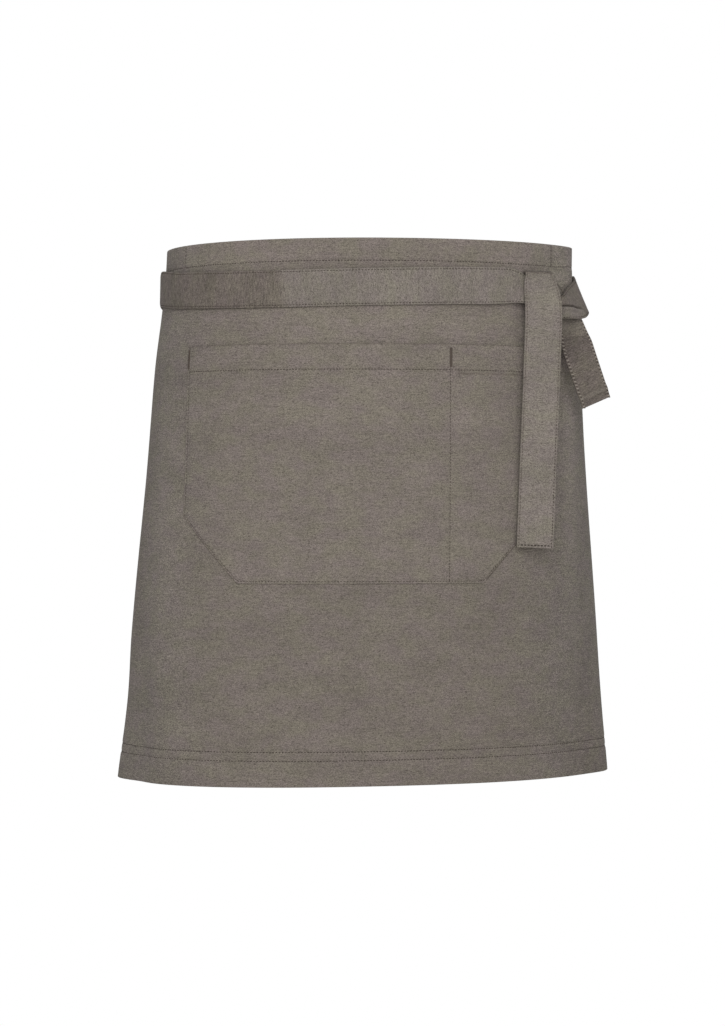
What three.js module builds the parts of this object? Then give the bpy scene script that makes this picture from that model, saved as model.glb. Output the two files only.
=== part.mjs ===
// A waist apron as it hangs when worn, with its two ties knotted at the front.
// Millimetres, +Z up. The front faces -Y, and the knot is towards +X.
// The origin is the centre of the waist loop, at the middle height of the ties.

import * as THREE from 'three';

// Cloth
const CLOTH = 1.2;
const HEM = 2.4;
const HEM_STEP = 1.5;
const SEAM_GAP = 0.8;

// Panel: one cut that wraps the front, the sides and part of the back
const PANEL_WIDE = 780;
const TOP = 39;
const BOTTOM = -411;
const TOP_HEM = 20;
const BOTTOM_HEM = 30;
const SIDE_HEM = 15;
const PANEL_STEP = 13;
const PANEL_ROW = 22;
const TOP_HEM_ROW = 10;
const BOTTOM_HEM_ROW = 15;
const CREASE_FROM = 178;
const CREASE_TO = 222;
const CREASE_STEP = 5.5;

// Pocket, measured along the cloth
const POCKET_TOP = -48;
const POCKET_DEEP = 197;
const POCKET_WIDE = 316;
const POCKET_HEM = 21;
const CORNER_WIDE = 54;
const CORNER_DEEP = 56;
const POCKET_STEP = 13;
const POCKET_ROW = 20;
const CORNER_ROW = 14;

// Ties
const TIE_WIDE = 31;
const TIE_THICK = 2;
const TIE_TURN_STEP = 6;
const TIE_ROW_STEPS = 4;
const FOLD_RADIUS = 3.7;

// The form that the cloth wraps, as level sections. left and right are the half widths, front and back the
// distances from the middle line, mid is how far back the widest place lies, and swing pushes one side back
// and the other forward. power squares the section, and crease is where the +X side turns sharply back.
const SECTIONS = [
  { z: -411, left: 206, right: 218, front: 159, back: 160, mid: 23, swing: 0.2, power: 2.3, crease: 300 },
  { z: -345, left: 199, right: 210, front: 152, back: 152, mid: 18, swing: 0.16, power: 2.25, crease: 290 },
  { z: -290, left: 197, right: 205, front: 147, back: 145, mid: 14, swing: 0.13, power: 2.2, crease: 270 },
  { z: -160, left: 186.5, right: 195.5, front: 138, back: 131, mid: 7, swing: 0.06, power: 2.1, crease: 225 },
  { z: -60, left: 179.5, right: 190, front: 133, back: 121, mid: 2, swing: 0.02, power: 2.05, crease: 192 },
  { z: -15, left: 174, right: 190, front: 131.5, back: 116, mid: 0, swing: 0, power: 2, crease: 183 },
  { z: 20, left: 170.5, right: 191, front: 131, back: 114, mid: 0, swing: 0, power: 2, crease: 179.5 },
  { z: 39, left: 169.5, right: 191, front: 131, back: 114, mid: 0, swing: 0, power: 2, crease: 179.5 },
];
const CREASE_SOFT = 2.2;

// Soft folds that open towards the bottom edge. at and wide run along the cloth from the middle of the front.
const FOLDS = [
  { at: -372, wide: 26, deep: 9 },
  { at: -318, wide: 30, deep: -7 },
  { at: -246, wide: 20, deep: 4 },
  { at: -205, wide: 17, deep: -3 },
  { at: 262, wide: 24, deep: 4 },
  { at: 322, wide: 30, deep: -7 },
  { at: 374, wide: 26, deep: 9 },
];
const FOLD_GROWTH = 1.6;

// How each tie runs round the waist. turn is degrees from the middle of the front by way of +X, up is its
// middle height, off its distance from the cloth and lean how far its lower edge stands out, in degrees.
const FRONT_TIE_ROUND = [
  { turn: 141, up: 23.5, off: 2, lean: 2 },
  { turn: 155, up: 23.3, off: 2, lean: 1 },
  { turn: 161, up: 22, off: 2.8, lean: 0 },
  { turn: 168, up: 17, off: 3, lean: 0 },
  { turn: 180, up: 7.5, off: 3, lean: 0 },
  { turn: 193, up: -3, off: 3.2, lean: 0 },
  { turn: 205, up: -12, off: 2.8, lean: 2 },
  { turn: 222, up: -10, off: 3, lean: 4 },
  { turn: 270, up: 6, off: 2.8, lean: 1.2 },
  { turn: 300, up: 0.6, off: 2.7, lean: 2.5 },
  { turn: 330, up: -2.2, off: 2.1, lean: 1.5 },
  { turn: 360, up: -1.5, off: 1.8, lean: 0 },
  { turn: 392, up: 1, off: 2.4, lean: 0 },
];
const HIP_TIE_ROUND = [
  { turn: 219, up: 23.5, off: 2, lean: 2 },
  { turn: 205, up: 22.8, off: 2.1, lean: 1 },
  { turn: 193, up: 17, off: -0.4, lean: 0 },
  { turn: 180, up: 7.5, off: -1, lean: 0 },
  { turn: 167, up: -4, off: -1, lean: 0 },
  { turn: 160, up: -12, off: -0.8, lean: 0 },
  { turn: 155, up: -14, off: 2.8, lean: 2 },
  { turn: 128, up: -9, off: 3.2, lean: 6 },
  { turn: 100, up: 1.2, off: 5, lean: 13 },
];

// Each tie through the knot and down its tail. heading and pitch give the way its outer face looks, in
// degrees.
const FRONT_TIE_KNOT = [
  { x: 123, y: -103.1, z: 1.6, wide: 30, heading: -68, pitch: 0 },
  { x: 128, y: -101.3, z: 0.5, wide: 27.4, heading: -69, pitch: 0 },
  { x: 133, y: -99.4, z: -1, wide: 23.2, heading: -69, pitch: 0 },
  { x: 137.5, y: -97.8, z: -1.7, wide: 22, heading: -69, pitch: 0 },
  { x: 142.5, y: -95.9, z: -2, wide: 22, heading: -70, pitch: 0 },
  { x: 150, y: -93.2, z: -1, wide: 15, heading: -69, pitch: 0 },
  { x: 156.6, y: -90.6, z: -1, wide: 13, heading: -60, pitch: 0 },
  { x: 160.6, y: -85, z: -0.2, wide: 13, heading: -34, pitch: 0 },
  { x: 164, y: -78.2, z: -3.1, wide: 14, heading: -30, pitch: 0 },
  { x: 168, y: -73.5, z: -12, wide: 18, heading: -40, pitch: 0 },
  { x: 175.2, y: -66.4, z: -27, wide: 28.5, heading: -47, pitch: 0 },
  { x: 181.2, y: -65, z: -46, wide: 32, heading: -59, pitch: 0 },
  { x: 198, y: -59, z: -93.6, wide: 32, heading: -55, pitch: 0 },
];
const HIP_TIE_KNOT = [
  { x: 186.2, y: -16, z: 2.6, wide: 31, heading: -4, pitch: 18 },
  { x: 186.4, y: -42, z: -3, wide: 31, heading: -18, pitch: 21 },
  { x: 182.6, y: -55, z: -7.5, wide: 31, heading: -28, pitch: 22 },
  { x: 177.8, y: -67, z: -10.5, wide: 28, heading: -40, pitch: 16 },
  { x: 170, y: -81.5, z: -14.5, wide: 20, heading: -58, pitch: 6 },
  { x: 160.2, y: -85.6, z: -17.3, wide: 13.5, heading: -70, pitch: 0 },
  { x: 151.7, y: -88.9, z: -16, wide: 13, heading: -70, pitch: 0 },
  { x: 144.8, y: -91.5, z: -8.5, wide: 14, heading: -70, pitch: 0 },
  { x: 144, y: -92, z: 2, wide: 18, heading: -70, pitch: 0 },
];
// Where the hip tie turns over the top of the front tie, and the tail that falls from there
const TURN_OVER = { x: 146, y: -95.3, z: 10.2, wide: 24.5, heading: -70 };
const TURN_OVER_STEPS = 4;
const HIP_TIE_TAIL = [
  { x: 147.5, y: -100, z: 5, wide: 27.5, heading: -75, pitch: -180 },
  { x: 148.3, y: -100.9, z: 0, wide: 29, heading: -80, pitch: -180 },
  { x: 150.4, y: -101, z: -14, wide: 31, heading: -87, pitch: -180 },
  { x: 149.5, y: -100, z: -60, wide: 31, heading: -89, pitch: -180 },
  { x: 146.5, y: -98, z: -140, wide: 31, heading: -90, pitch: -180 },
  { x: 143.7, y: -96.5, z: -216, wide: 31, heading: -90, pitch: -180 },
];

const CANVAS_COLOUR = 0x7e776f;
const TIE_COLOUR = 0x7b746c;
const ROUGHNESS = 0.92;

// Reads a table of rows as smooth curves of one of its columns.
function smoothTable(rows, by) {
  const columns = Object.keys(rows[0]).filter((name) => name !== by);
  const places = rows.map((row) => row[by]);
  const values = rows.flatMap((row) => columns.map((name) => row[name]));
  const curve = new THREE.CubicInterpolant(places, values, columns.length, new Float64Array(columns.length));
  return (place) => {
    const found = curve.evaluate(THREE.MathUtils.clamp(place, places[0], places[places.length - 1]));
    return Object.fromEntries(columns.map((name, i) => [name, found[i]]));
  };
}

const sectionAt = smoothTable(SECTIONS, 'z');

// A point of the section, turn radians from the middle of the front by way of +X.
function sectionPoint(section, turn) {
  const across = Math.sin(turn);
  const ahead = Math.cos(turn);
  const half = across < 0 ? section.left : section.right;
  const depth = ahead < 0 ? section.back : section.front;
  const round = (share) => Math.sign(share) * Math.abs(share) ** (2 / section.power);
  const free = half * round(across);
  const x = section.crease - CREASE_SOFT * Math.log1p(Math.exp((section.crease - free) / CREASE_SOFT));
  return new THREE.Vector2(x, section.mid - depth * round(ahead) + section.swing * x);
}

const ARC_SAMPLES = 720;
const arcTables = new Map();

// The section at a height as turns and the lengths of cloth from the middle of the front to them.
function arcTable(z) {
  if (!arcTables.has(z)) {
    const section = sectionAt(z);
    const turns = [];
    const lengths = [];
    let length = 0;
    for (let i = 0; i <= ARC_SAMPLES; i += 1) {
      const turn = Math.PI * (2 * i / ARC_SAMPLES - 1);
      if (i > 0) {
        length += sectionPoint(section, turn).distanceTo(sectionPoint(section, turns[i - 1]));
      }
      turns.push(turn);
      lengths.push(length);
    }
    const front = lengths[ARC_SAMPLES / 2];
    arcTables.set(z, { section, turns, lengths: lengths.map((value) => value - front) });
  }
  return arcTables.get(z);
}

// The turn at which a length of cloth from the middle of the front ends.
function turnAt(table, along) {
  let low = 0;
  let high = ARC_SAMPLES;
  while (high - low > 1) {
    const middle = (low + high) >> 1;
    if (table.lengths[middle] <= along) {
      low = middle;
    } else {
      high = middle;
    }
  }
  const share = (along - table.lengths[low]) / (table.lengths[high] - table.lengths[low]);
  return THREE.MathUtils.lerp(table.turns[low], table.turns[high], share);
}

// How far the soft folds move the cloth out at a place.
function foldAt(along, z) {
  const grown = Math.max(0, (POCKET_TOP - z) / (POCKET_TOP - BOTTOM)) ** FOLD_GROWTH;
  const bump = ({ at, wide, deep }) => deep * Math.exp(-(((along - at) / wide) ** 2));
  return grown * FOLDS.reduce((sum, fold) => sum + bump(fold), 0);
}

// The outer face of the panel, by length of cloth from the middle of the front and by height.
function skin(along, z) {
  const table = arcTable(z);
  const reach = 0.5;
  const flat = (place) => sectionPoint(table.section, turnAt(table, place));
  const way = flat(along + reach).sub(flat(along - reach)).normalize();
  const point = flat(along).addScaledVector(new THREE.Vector2(way.y, -way.x), foldAt(along, z));
  return new THREE.Vector3(point.x, point.y, z);
}

// The outward direction of the panel's outer face.
function skinNormal(along, z) {
  const reach = 1;
  const up = Math.min(z + reach, TOP);
  const down = Math.max(z - reach, BOTTOM);
  const across = skin(along + reach, z).sub(skin(along - reach, z));
  const rise = skin(along, up).sub(skin(along, down));
  return across.cross(rise).normalize();
}

// Closes rows of outer and inner points, alike in number, into one wall.
function wallGeometry(outer, inner) {
  const rows = outer.length;
  const columns = outer[0].length;
  const points = [...outer.flat(), ...inner.flat()];
  const faces = [];
  const at = (side, row, column) => (side * rows + row) * columns + column;
  const quad = (a, b, c, d) => faces.push(a, b, c, a, c, d);
  for (let row = 0; row < rows - 1; row += 1) {
    for (let column = 0; column < columns - 1; column += 1) {
      quad(at(0, row, column), at(0, row + 1, column), at(0, row + 1, column + 1), at(0, row, column + 1));
      quad(at(1, row, column), at(1, row, column + 1), at(1, row + 1, column + 1), at(1, row + 1, column));
    }
  }
  const foot = rows - 1;
  const end = columns - 1;
  for (let column = 0; column < end; column += 1) {
    quad(at(0, 0, column), at(0, 0, column + 1), at(1, 0, column + 1), at(1, 0, column));
    quad(at(0, foot, column), at(1, foot, column), at(1, foot, column + 1), at(0, foot, column + 1));
  }
  for (let row = 0; row < foot; row += 1) {
    quad(at(0, row, 0), at(1, row, 0), at(1, row + 1, 0), at(0, row + 1, 0));
    quad(at(0, row, end), at(0, row + 1, end), at(1, row + 1, end), at(1, row, end));
  }
  const geometry = new THREE.BufferGeometry();
  geometry.setAttribute('position', new THREE.Float32BufferAttribute(points.flatMap((p) => p.toArray()), 3));
  geometry.setIndex(faces);
  return geometry;
}

// Places from one end to the other, no further apart than the step.
function spread(from, to, step) {
  const count = Math.max(1, Math.ceil(Math.abs(to - from) / step));
  return Array.from({ length: count + 1 }, (_, i) => THREE.MathUtils.lerp(from, to, i / count));
}

// Joins runs of places that share their ends.
function chain(...runs) {
  return runs.flatMap((run, i) => (i === 0 ? run : run.slice(1)));
}

// The panel: a single wall, doubled along its turned edges.
function panelGeometry() {
  const half = PANEL_WIDE / 2;
  const sideHem = half - SIDE_HEM;
  const places = chain(
    [-half, -sideHem],
    [-sideHem, -sideHem + HEM_STEP],
    spread(-sideHem + HEM_STEP, CREASE_FROM, PANEL_STEP),
    spread(CREASE_FROM, CREASE_TO, CREASE_STEP),
    spread(CREASE_TO, sideHem - HEM_STEP, PANEL_STEP),
    [sideHem - HEM_STEP, sideHem, half],
  );
  const topHem = TOP - TOP_HEM;
  const bottomHem = BOTTOM + BOTTOM_HEM;
  const heights = chain(
    spread(TOP, topHem, TOP_HEM_ROW),
    [topHem, topHem - HEM_STEP],
    spread(topHem - HEM_STEP, bottomHem + HEM_STEP, PANEL_ROW),
    [bottomHem + HEM_STEP, bottomHem],
    spread(bottomHem, BOTTOM, BOTTOM_HEM_ROW),
  );
  const thick = (along, z) => {
    const turned = z >= topHem || z <= bottomHem || Math.abs(along) >= sideHem;
    return turned ? HEM : CLOTH;
  };
  const outer = heights.map((z) => places.map((along) => skin(along, z)));
  const inner = heights.map((z) => places.map((along) => (
    skin(along, z).addScaledVector(skinNormal(along, z), -thick(along, z))
  )));
  return wallGeometry(outer, inner);
}

// The pocket: a patch that lies on the panel, with a doubled mouth and cut-off lower corners.
function pocketGeometry() {
  const bottom = POCKET_TOP - POCKET_DEEP;
  const corner = bottom + CORNER_DEEP;
  const hem = POCKET_TOP - POCKET_HEM;
  const heights = chain(
    [POCKET_TOP, (POCKET_TOP + hem) / 2, hem, hem - HEM_STEP],
    spread(hem - HEM_STEP, corner, POCKET_ROW),
    spread(corner, bottom, CORNER_ROW),
  );
  const shares = spread(-1, 1, 2 * POCKET_STEP / POCKET_WIDE);
  const half = (z) => POCKET_WIDE / 2 - CORNER_WIDE * Math.max(0, (corner - z) / CORNER_DEEP);
  const face = (lift) => heights.map((z) => shares.map((share) => {
    const along = share * half(z);
    return skin(along, z).addScaledVector(skinNormal(along, z), lift(z));
  }));
  const thick = (z) => (z >= hem ? HEM : CLOTH);
  return wallGeometry(face((z) => SEAM_GAP + thick(z)), face(() => SEAM_GAP));
}

// A tie's stations where it runs round the waist.
function roundStations(rows) {
  const rising = rows[0].turn < rows[rows.length - 1].turn ? rows : [...rows].reverse();
  const at = smoothTable(rising, 'turn');
  const reach = THREE.MathUtils.degToRad(0.5);
  return spread(rows[0].turn, rows[rows.length - 1].turn, TIE_TURN_STEP).map((degrees) => {
    const { up, off, lean } = at(degrees);
    const section = sectionAt(up);
    const turn = THREE.MathUtils.degToRad(THREE.MathUtils.euclideanModulo(degrees + 180, 360) - 180);
    const way = sectionPoint(section, turn + reach).sub(sectionPoint(section, turn - reach)).normalize();
    const place = sectionPoint(section, turn).addScaledVector(new THREE.Vector2(way.y, -way.x), off);
    const heading = THREE.MathUtils.radToDeg(Math.atan2(-way.x, way.y));
    return { x: place.x, y: place.y, z: up, wide: TIE_WIDE, heading, pitch: lean };
  });
}

// The stations where the hip tie folds over the front tie, half round a small radius.
function turnOverStations() {
  const heading = THREE.MathUtils.degToRad(TURN_OVER.heading);
  return spread(0, Math.PI, Math.PI / TURN_OVER_STEPS).map((bend) => {
    const out = -FOLD_RADIUS * Math.cos(bend);
    return {
      ...TURN_OVER,
      x: TURN_OVER.x + out * Math.cos(heading),
      y: TURN_OVER.y + out * Math.sin(heading),
      z: TURN_OVER.z + FOLD_RADIUS * Math.sin(bend),
      pitch: -THREE.MathUtils.radToDeg(bend),
    };
  });
}

// A tie as one flat strip through its stations.
function tieGeometry(round, knot) {
  const rows = [...round, ...knot];
  rows.forEach((row, i) => {
    if (i > 0) {
      const jump = row.heading - rows[i - 1].heading;
      row.heading -= 360 * Math.round(jump / 360);
    }
  });
  const knots = rows.map((row) => new THREE.Vector3(row.x, row.y, row.z));
  const path = new THREE.CatmullRomCurve3(knots, false, 'centripetal');
  const near = round.length - 1;
  const steps = chain(
    spread(0, near, 1),
    spread(near, rows.length - 1, 1 / TIE_ROW_STEPS),
  );
  const sides = [[-1, -1], [1, -1], [1, 1], [-1, 1]];
  const points = [];
  steps.forEach((step) => {
    const share = step / (rows.length - 1);
    const before = rows[Math.floor(step)];
    const after = rows[Math.min(Math.ceil(step), rows.length - 1)];
    const between = (name) => THREE.MathUtils.lerp(before[name], after[name], step % 1);
    const heading = THREE.MathUtils.degToRad(between('heading'));
    const pitch = THREE.MathUtils.degToRad(between('pitch'));
    const level = Math.cos(pitch);
    const face = new THREE.Vector3(level * Math.cos(heading), level * Math.sin(heading), Math.sin(pitch));
    const way = path.getTangent(share);
    face.addScaledVector(way, -face.dot(way)).normalize();
    const edge = new THREE.Vector3().crossVectors(face, way);
    sides.forEach(([across, out]) => {
      points.push(path.getPoint(share)
        .addScaledVector(edge, across * between('wide') / 2)
        .addScaledVector(face, out * TIE_THICK / 2));
    });
  });
  const faces = [];
  const last = 4 * (steps.length - 1);
  for (let i = 0; i < last; i += 4) {
    for (let side = 0; side < 4; side += 1) {
      const next = (side + 1) % 4;
      faces.push(i + side, i + next, i + 4 + next, i + side, i + 4 + next, i + 4 + side);
    }
  }
  faces.push(0, 2, 1, 0, 3, 2, last, last + 1, last + 2, last, last + 2, last + 3);
  const geometry = new THREE.BufferGeometry();
  geometry.setAttribute('position', new THREE.Float32BufferAttribute(points.flatMap((p) => p.toArray()), 3));
  geometry.setIndex(faces);
  return geometry;
}

// One named piece of canvas.
function piece(name, geometry, color) {
  geometry.computeVertexNormals();
  const material = new THREE.MeshStandardMaterial({ color, roughness: ROUGHNESS, metalness: 0 });
  const mesh = new THREE.Mesh(geometry, material);
  mesh.name = name;
  return mesh;
}

const apron = new THREE.Group();
apron.add(piece('apron_panel', panelGeometry(), CANVAS_COLOUR));
apron.add(piece('pocket', pocketGeometry(), CANVAS_COLOUR));
apron.add(piece('front_tie', tieGeometry(roundStations(FRONT_TIE_ROUND), FRONT_TIE_KNOT), TIE_COLOUR));
const hipTieKnot = [...HIP_TIE_KNOT, ...turnOverStations(), ...HIP_TIE_TAIL];
apron.add(piece('hip_tie', tieGeometry(roundStations(HIP_TIE_ROUND), hipTieKnot), TIE_COLOUR));

export default apron;
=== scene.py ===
"""A waist apron of heathered canvas as it hangs when worn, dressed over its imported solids.

Sizes are millimetres in the code and metres in the meshes. The front faces -Y, and the knot is towards +X.
"""

import logging
import math
from abc import ABC, abstractmethod
from dataclasses import dataclass, field
from enum import Enum
from functools import cached_property
from typing import Any, ClassVar

import bmesh
import bpy
import numpy as np
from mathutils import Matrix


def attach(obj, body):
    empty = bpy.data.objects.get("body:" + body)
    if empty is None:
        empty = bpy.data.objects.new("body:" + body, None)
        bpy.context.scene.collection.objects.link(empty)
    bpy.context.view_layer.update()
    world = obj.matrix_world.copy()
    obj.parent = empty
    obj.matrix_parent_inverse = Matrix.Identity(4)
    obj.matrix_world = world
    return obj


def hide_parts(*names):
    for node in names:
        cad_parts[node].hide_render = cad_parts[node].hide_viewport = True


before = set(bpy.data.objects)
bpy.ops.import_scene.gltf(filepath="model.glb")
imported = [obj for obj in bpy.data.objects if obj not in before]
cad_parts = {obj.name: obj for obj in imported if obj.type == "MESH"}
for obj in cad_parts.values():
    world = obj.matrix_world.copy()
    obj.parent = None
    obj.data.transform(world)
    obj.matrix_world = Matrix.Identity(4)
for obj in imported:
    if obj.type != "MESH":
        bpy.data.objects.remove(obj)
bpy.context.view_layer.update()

Span = tuple[float, float]
Place = tuple[float, float, float]
Colour = tuple[float, float, float, float]
Rows = tuple[tuple[float, ...], ...]

MM = 0.001
ROOT = "root"
WHITE: Colour = (1.0, 1.0, 1.0, 1.0)
LOG = logging.getLogger("waist_apron")

# Level sections of the form: height, half widths left and right, depths front and back, how far back the
# widest place lies, swing, squareness, and where the +X side turns sharply back.
SECTIONS: Rows = (
    (-411, 206, 218, 159, 160, 23, 0.2, 2.3, 300),
    (-345, 199, 210, 152, 152, 18, 0.16, 2.25, 290),
    (-290, 197, 205, 147, 145, 14, 0.13, 2.2, 270),
    (-160, 186.5, 195.5, 138, 131, 7, 0.06, 2.1, 225),
    (-60, 179.5, 190, 133, 121, 2, 0.02, 2.05, 192),
    (-15, 174, 190, 131.5, 116, 0, 0, 2, 183),
    (20, 170.5, 191, 131, 114, 0, 0, 2, 179.5),
    (39, 169.5, 191, 131, 114, 0, 0, 2, 179.5),
)
# Soft folds: place along the cloth, width and depth at the bottom edge.
FOLDS: Rows = (
    (-372, 26, 9),
    (-318, 30, -7),
    (-246, 20, 4),
    (-205, 17, -3),
    (262, 24, 4),
    (322, 30, -7),
    (374, 26, 9),
)
# Painted light and shade on the skirt, lighter where the ties and tails cast shade and darker at the sides:
# place along and height, half width and height, and how much.
PANEL_PAINTED_SHADING: Rows = (
    (0, -32, 230, 26, 0.12),
    (208, -150, 24, 80, 0.13),
    (232, -400, 34, 70, -0.15),
    (-178, -200, 30, 120, 0.13),
    (203, -140, 12, 90, 0.14),
    (198, -82, 18, 30, 0.31),
    (155, -224, 22, 14, 0.12),
    (-228, -200, 18, 130, -0.07),
    (228, -170, 18, 110, -0.07),
    (150, -365, 34, 14, -0.05),
    (60, -330, 90, 60, -0.02),
    (192, -56, 8, 14, 0.4),
    (190, 8, 17, 12, 0.42),
    (150, 14, 32, 6, 0.26),
)
# Ties round the waist: turn in degrees, height, distance from the cloth, lean of the lower edge in degrees.
FRONT_TIE_ROUND: Rows = (
    (141, 23.5, 2, 2),
    (155, 23.3, 2, 1),
    (161, 22, 2.8, 0),
    (168, 17, 3, 0),
    (180, 7.5, 3, 0),
    (193, -3, 3.2, 0),
    (205, -12, 2.8, 2),
    (222, -10, 3, 4),
    (270, 6, 2.8, 1.2),
    (300, 0.6, 2.7, 2.5),
    (330, -2.2, 2.1, 1.5),
    (360, -1.5, 1.8, 0),
    (392, 1, 2.4, 0),
)
HIP_TIE_ROUND: Rows = (
    (219, 23.5, 2, 2),
    (205, 22.8, 2.1, 1),
    (193, 17, -0.4, 0),
    (180, 7.5, -1, 0),
    (167, -4, -1, 0),
    (160, -12, -0.8, 0),
    (155, -14, 2.8, 2),
    (128, -9, 3.2, 6),
    (100, 1.2, 5, 13),
)
# Ties through the knot and down their tails: place, width, heading and pitch of the outer face in degrees.
FRONT_TIE_KNOT: Rows = (
    (123, -103.1, 1.6, 30, -68, 0),
    (128, -101.3, 0.5, 27.4, -69, 0),
    (133, -99.4, -1, 23.2, -69, 0),
    (137.5, -97.8, -1.7, 22, -69, 0),
    (142.5, -95.9, -2, 22, -70, 0),
    (150, -93.2, -1, 15, -69, 0),
    (156.6, -90.6, -1, 13, -60, 0),
    (160.6, -85, -0.2, 13, -34, 0),
    (164, -78.2, -3.1, 14, -30, 0),
    (168, -73.5, -12, 18, -40, 0),
    (175.2, -66.4, -27, 28.5, -47, 0),
    (181.2, -65, -46, 32, -59, 0),
    (198, -59, -93.6, 32, -55, 0),
)
HIP_TIE_KNOT: Rows = (
    (186.2, -16, 2.6, 31, -4, 18),
    (186.4, -42, -3, 31, -18, 21),
    (182.6, -55, -7.5, 31, -28, 22),
    (177.8, -67, -10.5, 28, -40, 16),
    (170, -81.5, -14.5, 20, -58, 6),
    (160.2, -85.6, -17.3, 13.5, -70, 0),
    (151.7, -88.9, -16, 13, -70, 0),
    (144.8, -91.5, -8.5, 14, -70, 0),
    (144, -92, 2, 18, -70, 0),
)
HIP_TIE_TAIL: Rows = (
    (147.5, -100, 5, 27.5, -75, -180),
    (148.3, -100.9, 0, 29, -80, -180),
    (150.4, -101, -14, 31, -87, -180),
    (149.5, -100, -60, 31, -89, -180),
    (146.5, -98, -140, 31, -90, -180),
    (143.7, -96.5, -216, 31, -90, -180),
)
# The stations of the hip tie's knot along which its lip runs.
HIP_TIE_LIP = HIP_TIE_KNOT[2:6]
# Where the hip tie folds over the front tie: place, width and heading.
TURN_OVER = (146, -95.3, 10.2, 24.5, -70)
TURN_OVER_RADIUS = 3.7
TURN_OVER_STEPS = 4

# The uneven wave of a puckered seam: height, radians a millimetre, and share of the start.
RIPPLES: Rows = ((0.5, 0.55, 1.0), (0.3, 0.89, 2.1), (0.2, 0.35, 0.7))
# Grid lines beside a seam: how far they reach, how many they are, and the least between any two lines.
SEAM_REACH = 2.4
SEAM_LINES = 7
LEAST_GAP = 0.5


class Held(Enum):
    """How a sheet of cloth is held."""

    HUNG = "hung"
    LAID = "laid"
    STRETCHED = "stretched"


class Slot(Enum):
    """The material slots."""

    CANVAS = "canvas"
    TIE_CANVAS = "tie_canvas"


class Side(Enum):
    """The two faces of a tie."""

    OUTER = 1
    INNER = -1


def linear(code: str) -> Colour:
    """Turns an sRGB hex colour to linear.

    Args:
        code: Six hex digits.
    Returns:
        The linear red, green and blue, and an alpha of 1.
    """
    shares = [int(code[i:i + 2], 16) / 255 for i in (0, 2, 4)]
    return (*(c / 12.92 if c <= 0.04045 else ((c + 0.055) / 1.055) ** 2.4 for c in shares), 1.0)


def add(
    tree: bpy.types.NodeTree, kind: str, links: dict[str | int, Any] | None = None, **settings: Any
) -> bpy.types.Node:
    """Adds a node with its settings and links.

    Args:
        tree: The node tree.
        kind: The node's type without its ShaderNode prefix.
        links: Input name or number to an output socket, or to a constant.
        settings: The node's own properties.
    Returns:
        The new node.
    """
    node = tree.nodes.new("ShaderNode" + kind)
    for name, value in settings.items():
        setattr(node, name, value)
    for name, value in (links or {}).items():
        if isinstance(value, bpy.types.NodeSocket):
            tree.links.new(value, node.inputs[name])
        else:
            node.inputs[name].default_value = value
    return node


def bare_material(name: str) -> bpy.types.Material:
    """Starts a material.

    Args:
        name: The real material's name.
    Returns:
        The material, with an empty node tree.
    """
    made = bpy.data.materials.new(name)
    made.use_nodes = True
    made.node_tree.nodes.clear()
    return made


def unit(vectors: np.ndarray) -> np.ndarray:
    """Returns the vectors at length 1."""
    return vectors / np.linalg.norm(vectors, axis=-1, keepdims=True)


def squared(vectors: np.ndarray, ways: np.ndarray) -> np.ndarray:
    """Returns the vectors turned square to directions, at length 1."""
    return unit(vectors - ways * np.sum(vectors * ways, axis=-1, keepdims=True))


def outward(ways: np.ndarray) -> np.ndarray:
    """Returns the level directions that point away from the form, by the directions round it."""
    return np.stack([ways[:, 1], -ways[:, 0]], axis=-1)


def smoothstep(low: float, high: float, value: np.ndarray) -> np.ndarray:
    """Returns 0 before low, 1 past high and a smooth rise between."""
    share = np.clip((value - low) / (high - low), 0, 1)
    return share * share * (3 - 2 * share)


def hump(distance: np.ndarray, wide: float) -> np.ndarray:
    """Returns 1 where the distance is 0, falling to about a third at the width."""
    return np.exp(-((distance / wide) ** 2))


def groove(distance: np.ndarray, deep: float = 0.4, wide: float = 1.1) -> np.ndarray:
    """Returns how far a row of stitches pulls the cloth in, by the distance from it."""
    return -deep * hump(distance, wide)


def ripple(place: np.ndarray, start: float) -> np.ndarray:
    """Returns an uneven wave along a seam, about 12 mm long and between -1 and 1."""
    return sum(high * np.sin(place * turn + share * start) for high, turn, share in RIPPLES)


def run_lengths(points: np.ndarray) -> np.ndarray:
    """Returns how far along a line each of its points lies."""
    return np.concatenate([[0.0], np.cumsum(np.linalg.norm(np.diff(points, axis=0), axis=1))])


def read_along(places: np.ndarray, lengths: np.ndarray, table: np.ndarray) -> np.ndarray:
    """Returns a table's rows read at places along a line, where its own rows lie at the lengths."""
    return np.stack([np.interp(places, lengths, column) for column in table.T], axis=1)


def grid_lines(start: float, end: float, step: float, seams: tuple[float, ...] = ()) -> np.ndarray:
    """Spaces a grid's lines, closer beside seams.

    Args:
        start: The first line.
        end: The last line.
        step: The most between lines away from seams.
        seams: Places that get close lines.
    Returns:
        The lines, rising.
    """
    plain = np.linspace(start, end, math.ceil((end - start) / step) + 1)
    beside = np.linspace(-SEAM_REACH, SEAM_REACH, SEAM_LINES)
    found = np.unique(np.concatenate([plain, *(np.clip(seam + beside, start, end) for seam in seams)]))
    keep = [found[0]]
    for line in found[1:-1]:
        if line - keep[-1] > LEAST_GAP and found[-1] - line > LEAST_GAP:
            keep.append(line)
    return np.array([*keep, found[-1]])


def root_gaps(first: np.ndarray, second: np.ndarray) -> np.ndarray:
    """Returns the roots of the distances from points to others, as a column."""
    return np.sqrt(np.linalg.norm(second - first, axis=1))[:, None]


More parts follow.
